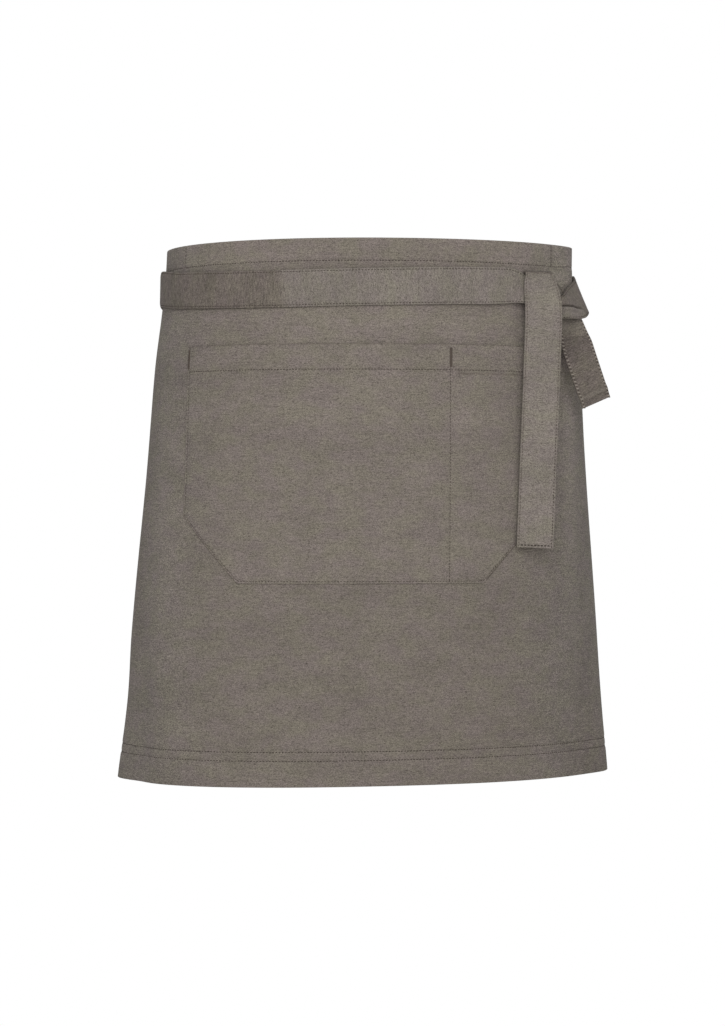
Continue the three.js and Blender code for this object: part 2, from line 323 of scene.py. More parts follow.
def smooth_path(points: np.ndarray, steps: int) -> np.ndarray:
    """Runs a centripetal curve through points.

    Args:
        points: The points that the curve passes.
        steps: Places from each point to the next.
    Returns:
        The places along the curve, both ends included.
    """
    padded = np.vstack([2 * points[0] - points[1], points, 2 * points[-1] - points[-2]])
    p0, p1, p2, p3 = padded[:-3], padded[1:-2], padded[2:-1], padded[3:]
    d0, d1, d2 = root_gaps(p0, p1), root_gaps(p1, p2), root_gaps(p2, p3)
    leave = d1 * ((p1 - p0) / d0 - (p2 - p0) / (d0 + d1) + (p2 - p1) / d1)
    arrive = d1 * ((p2 - p1) / d1 - (p3 - p1) / (d1 + d2) + (p3 - p2) / d2)
    w = (np.arange(steps) / steps)[:, None, None]
    curve = (2 * w**3 - 3 * w**2 + 1) * p1 + (w**3 - 2 * w**2 + w) * leave
    curve = curve + (3 * w**2 - 2 * w**3) * p2 + (w**3 - w**2) * arrive
    return np.vstack([np.swapaxes(curve, 0, 1).reshape(-1, 3), points[-1]])


def cloth_mesh(
    name: str, points: np.ndarray, faces: list[list[int]], flat: np.ndarray, marks: dict[str, np.ndarray]
) -> bpy.types.Mesh:
    """Makes a mesh that knows where its cloth lies when flat.

    Args:
        name: The mesh's name.
        points: The points in millimetres.
        faces: The numbers of each face's points.
        flat: The points' places on the flat cloth, weft first.
        marks: Values for each point, by the name of their attribute.
    Returns:
        The mesh, with the flat places as its coordinates "cloth".
    """
    mesh = bpy.data.meshes.new(name)
    mesh.from_pydata((points.reshape(-1, 3) * MM).tolist(), [], faces)
    corners = [number for face in faces for number in face]
    layer = mesh.uv_layers.new(name="cloth")
    layer.data.foreach_set("uv", (flat.reshape(-1, 2) * MM)[corners].ravel())
    for mark, values in marks.items():
        attribute = mesh.attributes.new(mark, "FLOAT", "POINT")
        attribute.data.foreach_set("value", values.ravel().astype(np.float32))
    return mesh


def put_in_scene(name: str, mesh: bpy.types.Mesh) -> bpy.types.Object:
    """Puts a mesh in the scene.

    Args:
        name: The piece's name.
        mesh: Its mesh.
    Returns:
        The piece, alone selected and active.
    """
    piece = bpy.data.objects.new(name, mesh)
    bpy.context.collection.objects.link(piece)
    bpy.ops.object.select_all(action="DESELECT")
    piece.select_set(True)
    bpy.context.view_layer.objects.active = piece
    return piece


class SmoothTable:
    """A table read as smooth curves of its first column."""

    def __init__(self, rows: Rows) -> None:
        """Sorts the rows by their first column."""
        table = np.array(sorted(rows), dtype=float)
        self.places, self.values = table[:, 0], table[:, 1:]

    def __call__(self, place: np.ndarray) -> np.ndarray:
        """Reads the other columns.

        Args:
            place: Values of the first column.
        Returns:
            One row of the other columns for each value.
        """
        at, last = self.places, len(self.places) - 1
        place = np.clip(np.atleast_1d(place), at[0], at[-1])
        high = np.clip(np.searchsorted(at, place, side="right"), 1, last)
        low = high - 1
        before = np.where(low > 0, low - 1, high)
        after = np.where(high < last, high + 1, low)
        half = (at[high] - at[low]) / 2
        back, ahead = half / (at[low] - at[before]), half / (at[after] - at[high])
        p = (place - at[low]) / (at[high] - at[low])
        shares = (
            (before, -back * p**3 + 2 * back * p**2 - back * p),
            (low, (1 + back) * p**3 + (-1.5 - 2 * back) * p**2 + (-0.5 + back) * p + 1),
            (high, (-1 - ahead) * p**3 + (1.5 + ahead) * p**2 + 0.5 * p),
            (after, ahead * p**3 - ahead * p**2),
        )
        return sum(share[:, None] * self.values[row] for row, share in shares)


@dataclass
class WaistForm:
    """The shape that the cloth wraps."""

    top: float = 39
    bottom: float = -411
    crease_soft: float = 2.2
    fold_top: float = -48
    fold_growth: float = 1.6
    samples: int = 720
    probe: float = 0.5
    # Where flecks show more and a painted cool sheen lies, along the cloth.
    mottle_most: float = 0.48
    mottle_rise: Span = (110, 200)
    mottle_fall: Span = (340, 250)
    sections: SmoothTable = field(default_factory=lambda: SmoothTable(SECTIONS))

    def plan(self, section: np.ndarray, turn: np.ndarray) -> np.ndarray:
        """Finds points of a level section.

        Args:
            section: One row of the section table, or one for each turn.
            turn: Radians from the middle of the front by way of +X.
        Returns:
            The points' x and y.
        """
        left, right, front, back, mid, swing, power, crease = np.moveaxis(section, -1, 0)
        across, ahead = np.sin(turn), np.cos(turn)
        free = np.where(across < 0, left, right) * np.sign(across) * np.abs(across) ** (2 / power)
        x = crease - self.crease_soft * np.logaddexp(0, (crease - free) / self.crease_soft)
        depth = np.where(ahead < 0, back, front) * np.sign(ahead) * np.abs(ahead) ** (2 / power)
        return np.stack([x, mid - depth + swing * x], axis=-1)

    def level(self, along: np.ndarray, z: float) -> np.ndarray:
        """Finds points of the outer face at one height.

        Args:
            along: Lengths of cloth from the middle of the front.
            z: The height.
        Returns:
            The points.
        """
        section = self.sections(np.array([z]))[0]
        turns = np.linspace(-math.pi, math.pi, self.samples + 1)
        lengths = run_lengths(self.plan(section, turns))
        lengths -= lengths[self.samples // 2]
        behind, here, ahead = (
            self.plan(section, np.interp(along + step, lengths, turns))
            for step in (-self.probe, 0, self.probe)
        )
        grown = max(0.0, (self.fold_top - z) / (self.fold_top - self.bottom)) ** self.fold_growth
        out = sum(deep * hump(along - at, wide) for at, wide, deep in FOLDS) * grown
        point = here + outward(unit(ahead - behind)) * out[:, None]
        return np.column_stack([point, np.full(len(point), z)])

    def skin(self, along: np.ndarray, z: np.ndarray) -> np.ndarray:
        """Finds points of the outer face.

        Args:
            along: Lengths of cloth from the middle of the front.
            z: Heights, alike in shape.
        Returns:
            The points.
        """
        points = np.empty((*np.shape(along), 3))
        for height in np.unique(z):
            here = z == height
            points[here] = self.level(along[here], height)
        return points

    def normal(self, along: np.ndarray, z: np.ndarray) -> np.ndarray:
        """Finds the outward directions of the outer face.

        Args:
            along: Lengths of cloth from the middle of the front.
            z: Heights, alike in shape.
        Returns:
            The directions.
        """
        across = self.skin(along + 1, z) - self.skin(along - 1, z)
        above, below = np.minimum(z + 1, self.top), np.maximum(z - 1, self.bottom)
        rise = self.skin(along, above) - self.skin(along, below)
        return unit(np.cross(across, rise))

    def mottle_and_sheen(self, along: np.ndarray) -> np.ndarray:
        """Gives how much stronger the flecks show and how much painted cool sheen the cloth takes, most at
        the sides.
        """
        aside = np.abs(along)
        return self.mottle_most * smoothstep(*self.mottle_rise, aside) * smoothstep(*self.mottle_fall, aside)


@dataclass(frozen=True)
class Grain:
    """A noise on the cloth: the size of its grains, its detail and start, and what its range is spread to."""

    long: float
    high: float
    detail: float
    start: float
    gives: Span
    reads: Span = (0.3, 0.7)
    rough: float = 0.6

    def spread(self, tree: bpy.types.NodeTree, cloth: bpy.types.NodeSocket) -> bpy.types.NodeSocket:
        """Adds the noise to a finish.

        Args:
            tree: The finish's node tree.
            cloth: The flat cloth's coordinates.
        Returns:
            The noise, spread to what it gives.
        """
        size = (1 / (MM * self.long), 1 / (MM * self.high), 1)
        place = add(tree, "Mapping", {"Vector": cloth, "Scale": size, "Location": (self.start,) * 3})
        noise = add(tree, "TexNoise", {
            "Vector": place.outputs["Vector"], "Scale": 1.0, "Detail": self.detail, "Roughness": self.rough,
        })
        return add(tree, "MapRange", {
            "Value": noise.outputs[0], "From Min": self.reads[0], "From Max": self.reads[1],
            "To Min": self.gives[0], "To Max": self.gives[1],
        }).outputs["Result"]


@dataclass(frozen=True)
class HeatheredCanvas:
    """Plain-woven cotton canvas of mixed dark and pale yarns.

    It gives the eye a matte grey-brown that is uneven close up, with short dark slubs along the weft. Real
    yarns are about 0.4 mm thick, too fine to show, so the weave and its grains are drawn twice as coarse.
    """

    name: str
    ground: str = "80776f"
    slub: str = "544c46"
    warm: str = "7f7b6b"
    cool: str = "807574"
    tinted: float = 0.4
    # Noises: length and height of grains in millimetres, detail, start, what they give and read.
    patches: Grain = Grain(22, 16, 2, 3.1, (0, 1), (0.36, 0.64))
    yarns: Grain = Grain(5.2, 0.75, 1, 7.7, (0.91, 1.09))
    streaks: Grain = Grain(22, 1.125, 1, 9.4, (0.94, 1.06))
    grains: Grain = Grain(0.75, 0.675, 2, 1.3, (0.54, 1.46))
    clouds: Grain = Grain(42, 30, 2, 5.9, (0.93, 1.07))
    slubs: Grain = Grain(2.6, 0.9, 1, 11.2, (0, 0.6), (0.58, 0.7))
    # The weave's threads from middle to middle, and their relief.
    weave: float = 0.9
    weave_high: float = 0.12
    weave_strength: float = 0.35
    # What painted shade, and the mottle with its painted cool sheen, do to the colour.
    shaded_yarns: float = 3.0
    shaded_from: float = 0.7
    reddened: Colour = (1.03, 0.995, 0.985, 1)
    reddened_from: float = 0.75
    painted_sheen_tint: Colour = (0.965, 1.0, 1.02, 1)
    # The surface.
    roughness: float = 0.93
    specular: float = 0.2
    sheen: float = 0.05
    sheen_roughness: float = 0.6

    def material(self) -> bpy.types.Material:
        """Builds the finish on the flat cloth's coordinates, with its attributes of tone and mottle.

        Returns:
            The material.
        """
        made = bare_material(self.name)
        tree = made.node_tree
        cloth = add(tree, "UVMap", uv_map="cloth").outputs["UV"]
        # Painted light and shade, kept on the points of each piece.
        painted_shading = add(tree, "Attribute", attribute_name="painted_shading").outputs["Fac"]
        mottle_and_sheen = add(tree, "Attribute", attribute_name="mottle_and_sheen").outputs["Fac"]
        layers = (self.patches, self.yarns, self.streaks, self.grains, self.clouds, self.slubs)
        patches, yarns, streaks, grains, clouds, slubs = (layer.spread(tree, cloth) for layer in layers)

        # Cloth under painted shade shows its yarns more, and mottled cloth its yarns and grains.
        shaded = add(tree, "MapRange", {
            "Value": painted_shading, "From Min": self.shaded_from, "From Max": 1.0,
            "To Min": self.shaded_yarns, "To Max": 1.0,
        })
        lively = []
        for layer, least in ((yarns, shaded.outputs["Result"]), (grains, 1.0)):
            power = add(tree, "Math", {0: least, 1: mottle_and_sheen}, operation="ADD").outputs[0]
            lively.append(add(tree, "Math", {0: layer, 1: power}, operation="POWER").outputs[0])
        yarns, grains = lively
        light = painted_shading
        for layer in (yarns, streaks, grains, clouds):
            light = add(tree, "Math", {0: light, 1: layer}, operation="MULTIPLY").outputs[0]

        # Painted shade turns the cloth a little red, and the painted cool sheen at the sides a little blue.
        dim = add(tree, "MapRange", {
            "Value": painted_shading, "From Min": self.reddened_from, "From Max": 1.0, "To Min": 1.0, "To Max": 0.0,
        })
        pairs = (
            (patches, linear(self.warm), linear(self.cool)),
            (dim.outputs["Result"], WHITE, self.reddened),
            (mottle_and_sheen, WHITE, self.painted_sheen_tint),
        )
        tint, reddened, painted_sheen_tint = (
            add(tree, "Mix", {0: share, 6: first, 7: second}, data_type="RGBA").outputs[2]
            for share, first, second in pairs
        )
        colour: Any = linear(self.ground)
        for how, share, part in (
            ("MIX", self.tinted, tint),
            ("MIX", slubs, linear(self.slub)),
            ("MULTIPLY", 1.0, reddened),
            ("MULTIPLY", 1.0, painted_sheen_tint),
            ("MULTIPLY", 1.0, light),
        ):
            mixed = add(tree, "Mix", {0: share, 6: colour, 7: part}, data_type="RGBA", blend_type=how)
            colour = mixed.outputs[2]

        # The weave's own relief: threads over and under each other, as uneven as the grains.
        axes = add(tree, "SeparateXYZ", {0: cloth})
        waves = []
        for axis in ("X", "Y"):
            links = {0: axes.outputs[axis], 1: math.pi / (MM * self.weave)}
            turned = add(tree, "Math", links, operation="MULTIPLY").outputs[0]
            waves.append(add(tree, "Math", {0: turned}, operation="SINE").outputs[0])
        woven = add(tree, "Math", {0: waves[0], 1: waves[1]}, operation="MULTIPLY").outputs[0]
        height = add(tree, "Math", {0: woven, 1: grains}, operation="ADD").outputs[0]
        bump = add(tree, "Bump", {
            "Height": height, "Strength": self.weave_strength, "Distance": self.weave_high * MM,
        })
        surface = add(tree, "BsdfPrincipled", {
            "Base Color": colour, "Normal": bump.outputs["Normal"], "Roughness": self.roughness,
            "Specular IOR Level": self.specular, "Sheen Weight": self.sheen,
            "Sheen Roughness": self.sheen_roughness,
        })
        add(tree, "OutputMaterial", {"Surface": surface.outputs["BSDF"]})
        return made


@dataclass(frozen=True)
class SewingThread:
    """Spun polyester sewing thread, which gives the eye a matte line, a little uneven along its length."""

    name: str
    colour: str
    twist: float = 0.6
    darkest: float = 0.72
    roughness: float = 0.85
    specular: float = 0.25

    def material(self) -> bpy.types.Material:
        """Builds the finish on the object's own coordinates.

        Returns:
            The material.
        """
        made = bare_material(self.name)
        tree = made.node_tree
        place = add(tree, "TexCoord").outputs["Object"]
        links = {"Vector": place, "Scale": 1 / (MM * self.twist), "Detail": 1.0}
        uneven = add(tree, "TexNoise", links).outputs[0]
        pale = linear(self.colour)
        dark = (*(self.darkest * c for c in pale[:3]), 1.0)
        colour = add(tree, "Mix", {0: uneven, 6: dark, 7: pale}, data_type="RGBA").outputs[2]
        surface = add(tree, "BsdfPrincipled", {
            "Base Color": colour, "Roughness": self.roughness, "Specular IOR Level": self.specular,
        })
        add(tree, "OutputMaterial", {"Surface": surface.outputs["BSDF"]})
        return made


@dataclass(frozen=True)
class SetPaint:
    """Matte paint on the set, which gives the eye a plain pale ground, or a lit white where it glows."""

    name: str
    colour: str
    glow: float = 0.0
    roughness: float = 0.9

    def material(self) -> bpy.types.Material:
        """Builds the finish.

        Returns:
            The material.
        """
        made = bare_material(self.name)
        tree = made.node_tree
        paint = linear(self.colour)
        if self.glow:
            surface = add(tree, "Emission", {"Color": paint, "Strength": self.glow})
        else:
            surface = add(tree, "BsdfPrincipled", {"Base Color": paint, "Roughness": self.roughness})
        add(tree, "OutputMaterial", {"Surface": surface.outputs[0]})
        return made


@dataclass
class Trail:
    """A line on the cloth that a row of stitches follows."""

    points: np.ndarray
    normals: np.ndarray
    probe: float = 0.6

    def frames(self, pitch: float, start: float) -> tuple[np.ndarray, np.ndarray, np.ndarray]:
        """Spaces stitches along the line.

        Args:
            pitch: The distance from stitch to stitch.
            start: How far on the first stitch lies, as a share of the pitch.
        Returns:
            The stitches' middles, directions and outward directions.
        """
        lengths = run_lengths(self.points)
        count = max(1, int(lengths[-1] / pitch))
        places = (np.arange(count) + 0.5 + start) * lengths[-1] / count
        behind, middles, ahead = (
            read_along(places + step, lengths, self.points) for step in (-self.probe, 0, self.probe)
        )
        ways = unit(ahead - behind)
        return middles, ways, squared(read_along(places, lengths, self.normals), ways)


@dataclass(frozen=True)
class Stitching:
    """Rows of lockstitch in one thread, drawn about twice as thick as a real one so that it shows."""

    thread: SewingThread
    pitch: float = 2.6
    long: float = 1.9
    thick: float = 0.7
    high: float = 0.46
    sink: float = 0.2
    sunk_past: float = 0.3
    rise: float = 0.2
    start: float = 0.0
    slant: float = 0.0
    segments: int = 6
    rings: int = 4

    @cached_property
    def finish(self) -> bpy.types.Material:
        """The thread's material, made once."""
        return self.thread.material()

    @cached_property
    def shape(self) -> tuple[np.ndarray, list[tuple[int, ...]]]:
        """One stitch, modelled once: a short run of thread whose ends dive into the cloth.

        Returns:
            Its points, along X and up Z, and its faces.
        """
        bpy.ops.object.select_all(action="DESELECT")
        bpy.ops.mesh.primitive_uv_sphere_add(segments=self.segments, ring_count=self.rings, radius=0.5)
        stitch = bpy.context.active_object
        bpy.ops.object.mode_set(mode="EDIT")
        bpy.ops.mesh.select_all(action="SELECT")
        bpy.ops.transform.rotate(value=math.pi / 2, orient_axis="Y", center_override=(0, 0, 0))
        bpy.ops.transform.resize(value=(self.long, self.thick, self.high), center_override=(0, 0, 0))
        bpy.ops.object.mode_set(mode="OBJECT")
        for point in stitch.data.vertices:
            point.select = abs(point.co.x) > self.sunk_past * self.long
        bpy.ops.object.mode_set(mode="EDIT")
        bpy.ops.transform.translate(value=(0, 0, -self.sink))
        bpy.ops.object.mode_set(mode="OBJECT")
        points = np.array([tuple(point.co) for point in stitch.data.vertices])
        faces = [tuple(face.vertices) for face in stitch.data.polygons]
        bpy.data.objects.remove(stitch)
        return points, faces

    def sew(self, name: str, trails: list[Trail], slot: Slot) -> bpy.types.Object:
        """Sews rows of stitches as one piece.

        Args:
            name: The piece's name.
            trails: The rows.
            slot: Not used.
        Returns:
            The piece, riding on the apron.
        """
        shape, faces = self.shape
        slant = math.radians(self.slant)
        rows: list[np.ndarray] = []
        for trail in trails:
            middles, ways, normals = trail.frames(self.pitch, self.start)
            ways = ways * math.cos(slant) + np.cross(normals, ways) * math.sin(slant)
            axes = np.stack([ways, np.cross(normals, ways), normals], axis=1)
            raised = middles + self.rise * normals
            rows.append((raised[:, None, :] + np.einsum("vk,nkc->nvc", shape, axes)).reshape(-1, 3))
        placed = np.concatenate(rows)
        copies = len(placed) // len(shape)
        all_faces = [tuple(i + copy * len(shape) for i in face) for copy in range(copies) for face in faces]
        mesh = bpy.data.meshes.new(name)
        mesh.from_pydata((placed * MM).tolist(), [], all_faces)
        mesh.materials.append(self.finish)
        mesh.shade_smooth()
        piece = put_in_scene(name, mesh)
        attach(piece, ROOT)
        LOG.info("%s: %d stitches", name, copies)
        return piece


# The apron's rows: plain seams, the panel's hems, bar tacks, the long tail's paler rows and its end, and the
# pale cross stitches of the short tail with painted shade in the gaps between them, drawn as dark stitches.
# The plain and hem threads are drawn darker than real thread: partly painted shade for the needle holes.
TONAL = Stitching(SewingThread("tonal thread with painted hole shade", "544b44"))
HEMMING = Stitching(SewingThread("hem thread with painted hole shade", "4a413b"), thick=0.85)
TACKING = Stitching(SewingThread("bar tack thread", "685d55"), long=2.9, thick=0.9, sink=0.05, rise=0.38)
SOFT = Stitching(SewingThread("pale sewing thread", "746a62"))
ENDING = Stitching(SewingThread("tie end thread", "453d38"), long=2.3, thick=1.1, rise=0.3)
CROSSING = Stitching(SewingThread("pale bobbin thread", "b9afa4"), 3.1, long=3.0, thick=0.85, slant=75)
# The dark stitches in the gaps are painted shade: the shadows between the cross stitches.
GAP_SHADE = Stitching(SewingThread("painted needle-hole shade", "524942"), 3.1, long=2.5, thick=0.8, start=0.5, slant=75)


@dataclass
class ClothGrid:
    """A sheet as a grid of points, with their flat places, their marks and where the cloth is doubled."""

    points: np.ndarray
    flat: np.ndarray
    marks: dict[str, np.ndarray]
    doubled: np.ndarray
    edge_wide: float = 0.42
    edge_angle: float = 55
    edge_steps: int = 2

    def make(self, name: str, double: float, single: float) -> bpy.types.Object:
        """Makes the sheet a wall with rounded edges.

        Args:
            name: The piece's name.
            double: The thickness where the cloth is doubled.
            single: The thickness where it is single.
        Returns:
            The piece.
        """
        number = np.arange(self.doubled.size).reshape(self.doubled.shape)
        corners = (number[:-1, :-1], number[:-1, 1:], number[1:, 1:], number[1:, :-1])
        faces = np.stack([corner.ravel() for corner in corners], axis=1).tolist()
        piece = put_in_scene(name, cloth_mesh(name, self.points, faces, self.flat, self.marks))
        group = piece.vertex_groups.new(name="doubled")
        for twice in (False, True):
            group.add(number[self.doubled == twice].tolist(), float(twice), "REPLACE")
        wall = piece.modifiers.new("wall", "SOLIDIFY")
        wall.thickness = double * MM
        wall.offset = -1
        wall.vertex_group = group.name
        wall.thickness_vertex_group = single / double
        edge = piece.modifiers.new("edge", "BEVEL")
        edge.limit_method = "ANGLE"
        edge.angle_limit = math.radians(self.edge_angle)
        edge.width = self.edge_wide * MM
        edge.segments = self.edge_steps
        for modifier in (wall.name, edge.name):
            bpy.ops.object.modifier_apply(modifier=modifier)
        piece.vertex_groups.clear()
        piece.data.shade_smooth()
        return piece


@dataclass
class ClothPiece(ABC):
    """A sheet of cloth that stands in the place of one solid, with the stitches on it."""

    node: ClassVar[str]
    slot: ClassVar[Slot]
    held: ClassVar[Held]
    rests_on: ClassVar[tuple[str, ...]]

    form: WaistForm
    canvas: bpy.types.Material

    @abstractmethod
    def size(self) -> Span:
        """Gives the flat width and length."""

    def area(self) -> float | None:
        """Gives the flat area in square metres, or none where the sheet is a plain rectangle."""
        return None

    @abstractmethod
    def model(self) -> bpy.types.Object:
        """Models the cloth, without its finish."""

    @abstractmethod
    def rows(self) -> dict[str, tuple[Stitching, list[Trail]]]:
        """Lays out the rows of stitches, by the end of their piece's name."""

    def build(self) -> bpy.types.Object:
        """Returns:
            The sheet.
        """
        piece = self.model()
        piece.data.materials.append(self.canvas)
        sewn = [
            stitching.sew(f"{self.node}_{end}", trails, self.slot)
            for end, (stitching, trails) in self.rows().items()
        ]
        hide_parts(self.node)
        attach(piece, ROOT)
        wide, long = self.size()
        return piece


@dataclass
class ApronPanel(ClothPiece):
    """The skirt: one cut of canvas, hemmed all round."""

    node: ClassVar[str] = "apron_panel"
    slot: ClassVar[Slot] = Slot.CANVAS
    held: ClassVar[Held] = Held.HUNG
    rests_on: ClassVar[tuple[str, ...]] = ("front_tie", "hip_tie")

    # The cut and its seams, by height or place along the cloth.
    wide: float = 780
    top_seam: float = 20.4
    top_rise: float = 1.8
    top_rises: Span = (175, 205)
    hem_seams: Span = (-382.6, -389.7)
    side_hem: float = 15
    side_seam: float = 12.5
    band_seams: Span = (-171, 173.5)
    band_seam_deep: float = 0.35
    band_soft: Span = (-1, 1)
    # Thickness, soft waves and puckers.
    cloth: float = 1.2
    hem: float = 2.4
    hem_swell: float = 0.3
    hem_swells: Span = (0.5, 3)
    wave_high: float = 0.45
    wave_starts: Span = (-40, -140)
    waves: tuple[Span, Span] = ((41, 83), (-130, 57))
    pucker_high: float = 0.2
    pucker_wide: float = 7
    pucker_shift: float = 1.9
    # The grid and the rows' ends.
    step: float = 4.0
    turn_lines: tuple[float, float, float] = (180, 215, 2.0)
    row_margin: float = 1
    # Painted light of the top band, and painted shade past its left seam and along its right seam.
    row_soft: Span = (-0.5, 0.5)
    painted_band_light: float = 0.07
    painted_band_side_light: float = 0.09
    band_sides: Span = (40, 150)
    painted_flap_shade: float = 0.13
    painted_seam_shade: float = 0.26
    painted_seam_shade_wide: float = 1.5

    def size(self) -> Span:
        """Gives the flat width and length."""
        return self.wide, self.form.top - self.form.bottom

    def top_row(self, along: np.ndarray) -> np.ndarray:
        """Gives the height of the top hem's row, which rises a little by the knot."""
        return self.top_seam + self.top_rise * smoothstep(*self.top_rises, along)

    def relief(self, along: np.ndarray, z: np.ndarray) -> np.ndarray:
        """Gives how far seams, hems and soft waves move the cloth out.

        Args:
            along: Lengths of cloth from the middle of the front.
            z: Heights, alike in shape.
        Returns:
            The distances.
        """
        first, second = (np.sin(along / across + z / down) for across, down in self.waves)
        out = self.wave_high * first * second * smoothstep(*self.wave_starts, z)
        for number, seam in enumerate((self.top_row(along), *self.hem_seams)):
            pucker = ripple(along, self.pucker_shift * number) * hump(z - seam, self.pucker_wide)
            out = out + groove(z - seam) + self.pucker_high * pucker
        out = out + groove(np.abs(along) - (self.wide / 2 - self.side_seam))
        out = out + self.hem_swell * smoothstep(*self.hem_swells, self.hem_seams[1] - z)
        in_band = smoothstep(*self.band_soft, z - self.top_seam)
        for place in self.band_seams:
            out = out + groove(along - place, self.band_seam_deep) * in_band
        return out

    def surface(self, along: np.ndarray, z: np.ndarray) -> tuple[np.ndarray, np.ndarray]:
        """Finds points of the outer face and its outward directions."""
        normals = self.form.normal(along, z)
        return self.form.skin(along, z) + normals * self.relief(along, z)[..., None], normals

    def painted_shading(self, along: np.ndarray, z: np.ndarray) -> np.ndarray:
        """Gives the painted light and shade: the broad patches, and a lighter top band, lighter still at its
        sides, with painted shade past its left seam and along its right seam.

        Args:
            along: Lengths of cloth from the middle of the front.
            z: Heights, alike in shape.
        Returns:
            The painted lightness, 1 where none is painted.
        """
        painted_shading = np.ones_like(z)
        for at, height, wide, high, amount in PANEL_PAINTED_SHADING:
            painted_shading += amount * hump(along - at, wide) * hump(z - height, high)
        left, right = self.band_seams
        band = smoothstep(*self.row_soft, z - self.top_row(along))
        painted_shading += band * (self.painted_band_light + self.painted_band_side_light * smoothstep(*self.band_sides, np.abs(along)))
        painted_shading -= self.painted_flap_shade * band * smoothstep(*self.band_soft, left - along)
        return painted_shading - self.painted_seam_shade * band * hump(along - right, self.painted_seam_shade_wide)

    def model(self) -> bpy.types.Object:
        """Models the panel, with close grid lines at its seams and where it turns sharply back.

        Returns:
            The panel.
        """
        half = self.wide / 2
        side = half - self.side_seam
        columns = grid_lines(-half, half, self.step, (-side, side, *self.band_seams))
        columns = np.unique(np.concatenate([columns, np.arange(*self.turn_lines)]))
        seams = (self.top_seam, self.top_seam + self.top_rise, *self.hem_seams)
        along, z = np.meshgrid(columns, grid_lines(self.form.bottom, self.form.top, self.step, seams))
        points, _ = self.surface(along, z)
        turned = (z > self.top_seam) | (z < self.hem_seams[0]) | (np.abs(along) > half - self.side_hem)
        marks = {"painted_shading": self.painted_shading(along, z), "mottle_and_sheen": self.form.mottle_and_sheen(along)}
        grid = ClothGrid(points, np.stack([along, z], axis=-1), marks, turned)
        return grid.make(f"{self.node}_cloth", self.hem, self.cloth)

    def rows(self) -> dict[str, tuple[Stitching, list[Trail]]]:
        """Lays out the rows of stitches.

        Returns:
            The top hem's row, the bottom hem's two, the side hems' and the short seams of the band.
        """
        half = self.wide / 2
        reach = half - self.row_margin
        top = self.form.top - self.row_margin
        sweep = np.linspace(-reach, reach, 400)
        drop = np.linspace(top, self.form.bottom + self.row_margin, 220)
        short = np.linspace(top, self.top_seam, 12)
        lines = [(sweep, self.top_row(sweep))]
        lines += [(sweep, np.full_like(sweep, z)) for z in self.hem_seams]
        lines += [(np.full_like(drop, side * (half - self.side_seam)), drop) for side in (-1, 1)]
        lines += [(np.full_like(short, place), short) for place in self.band_seams]
        return {"stitches": (HEMMING, [Trail(*self.surface(along, z)) for along, z in lines])}


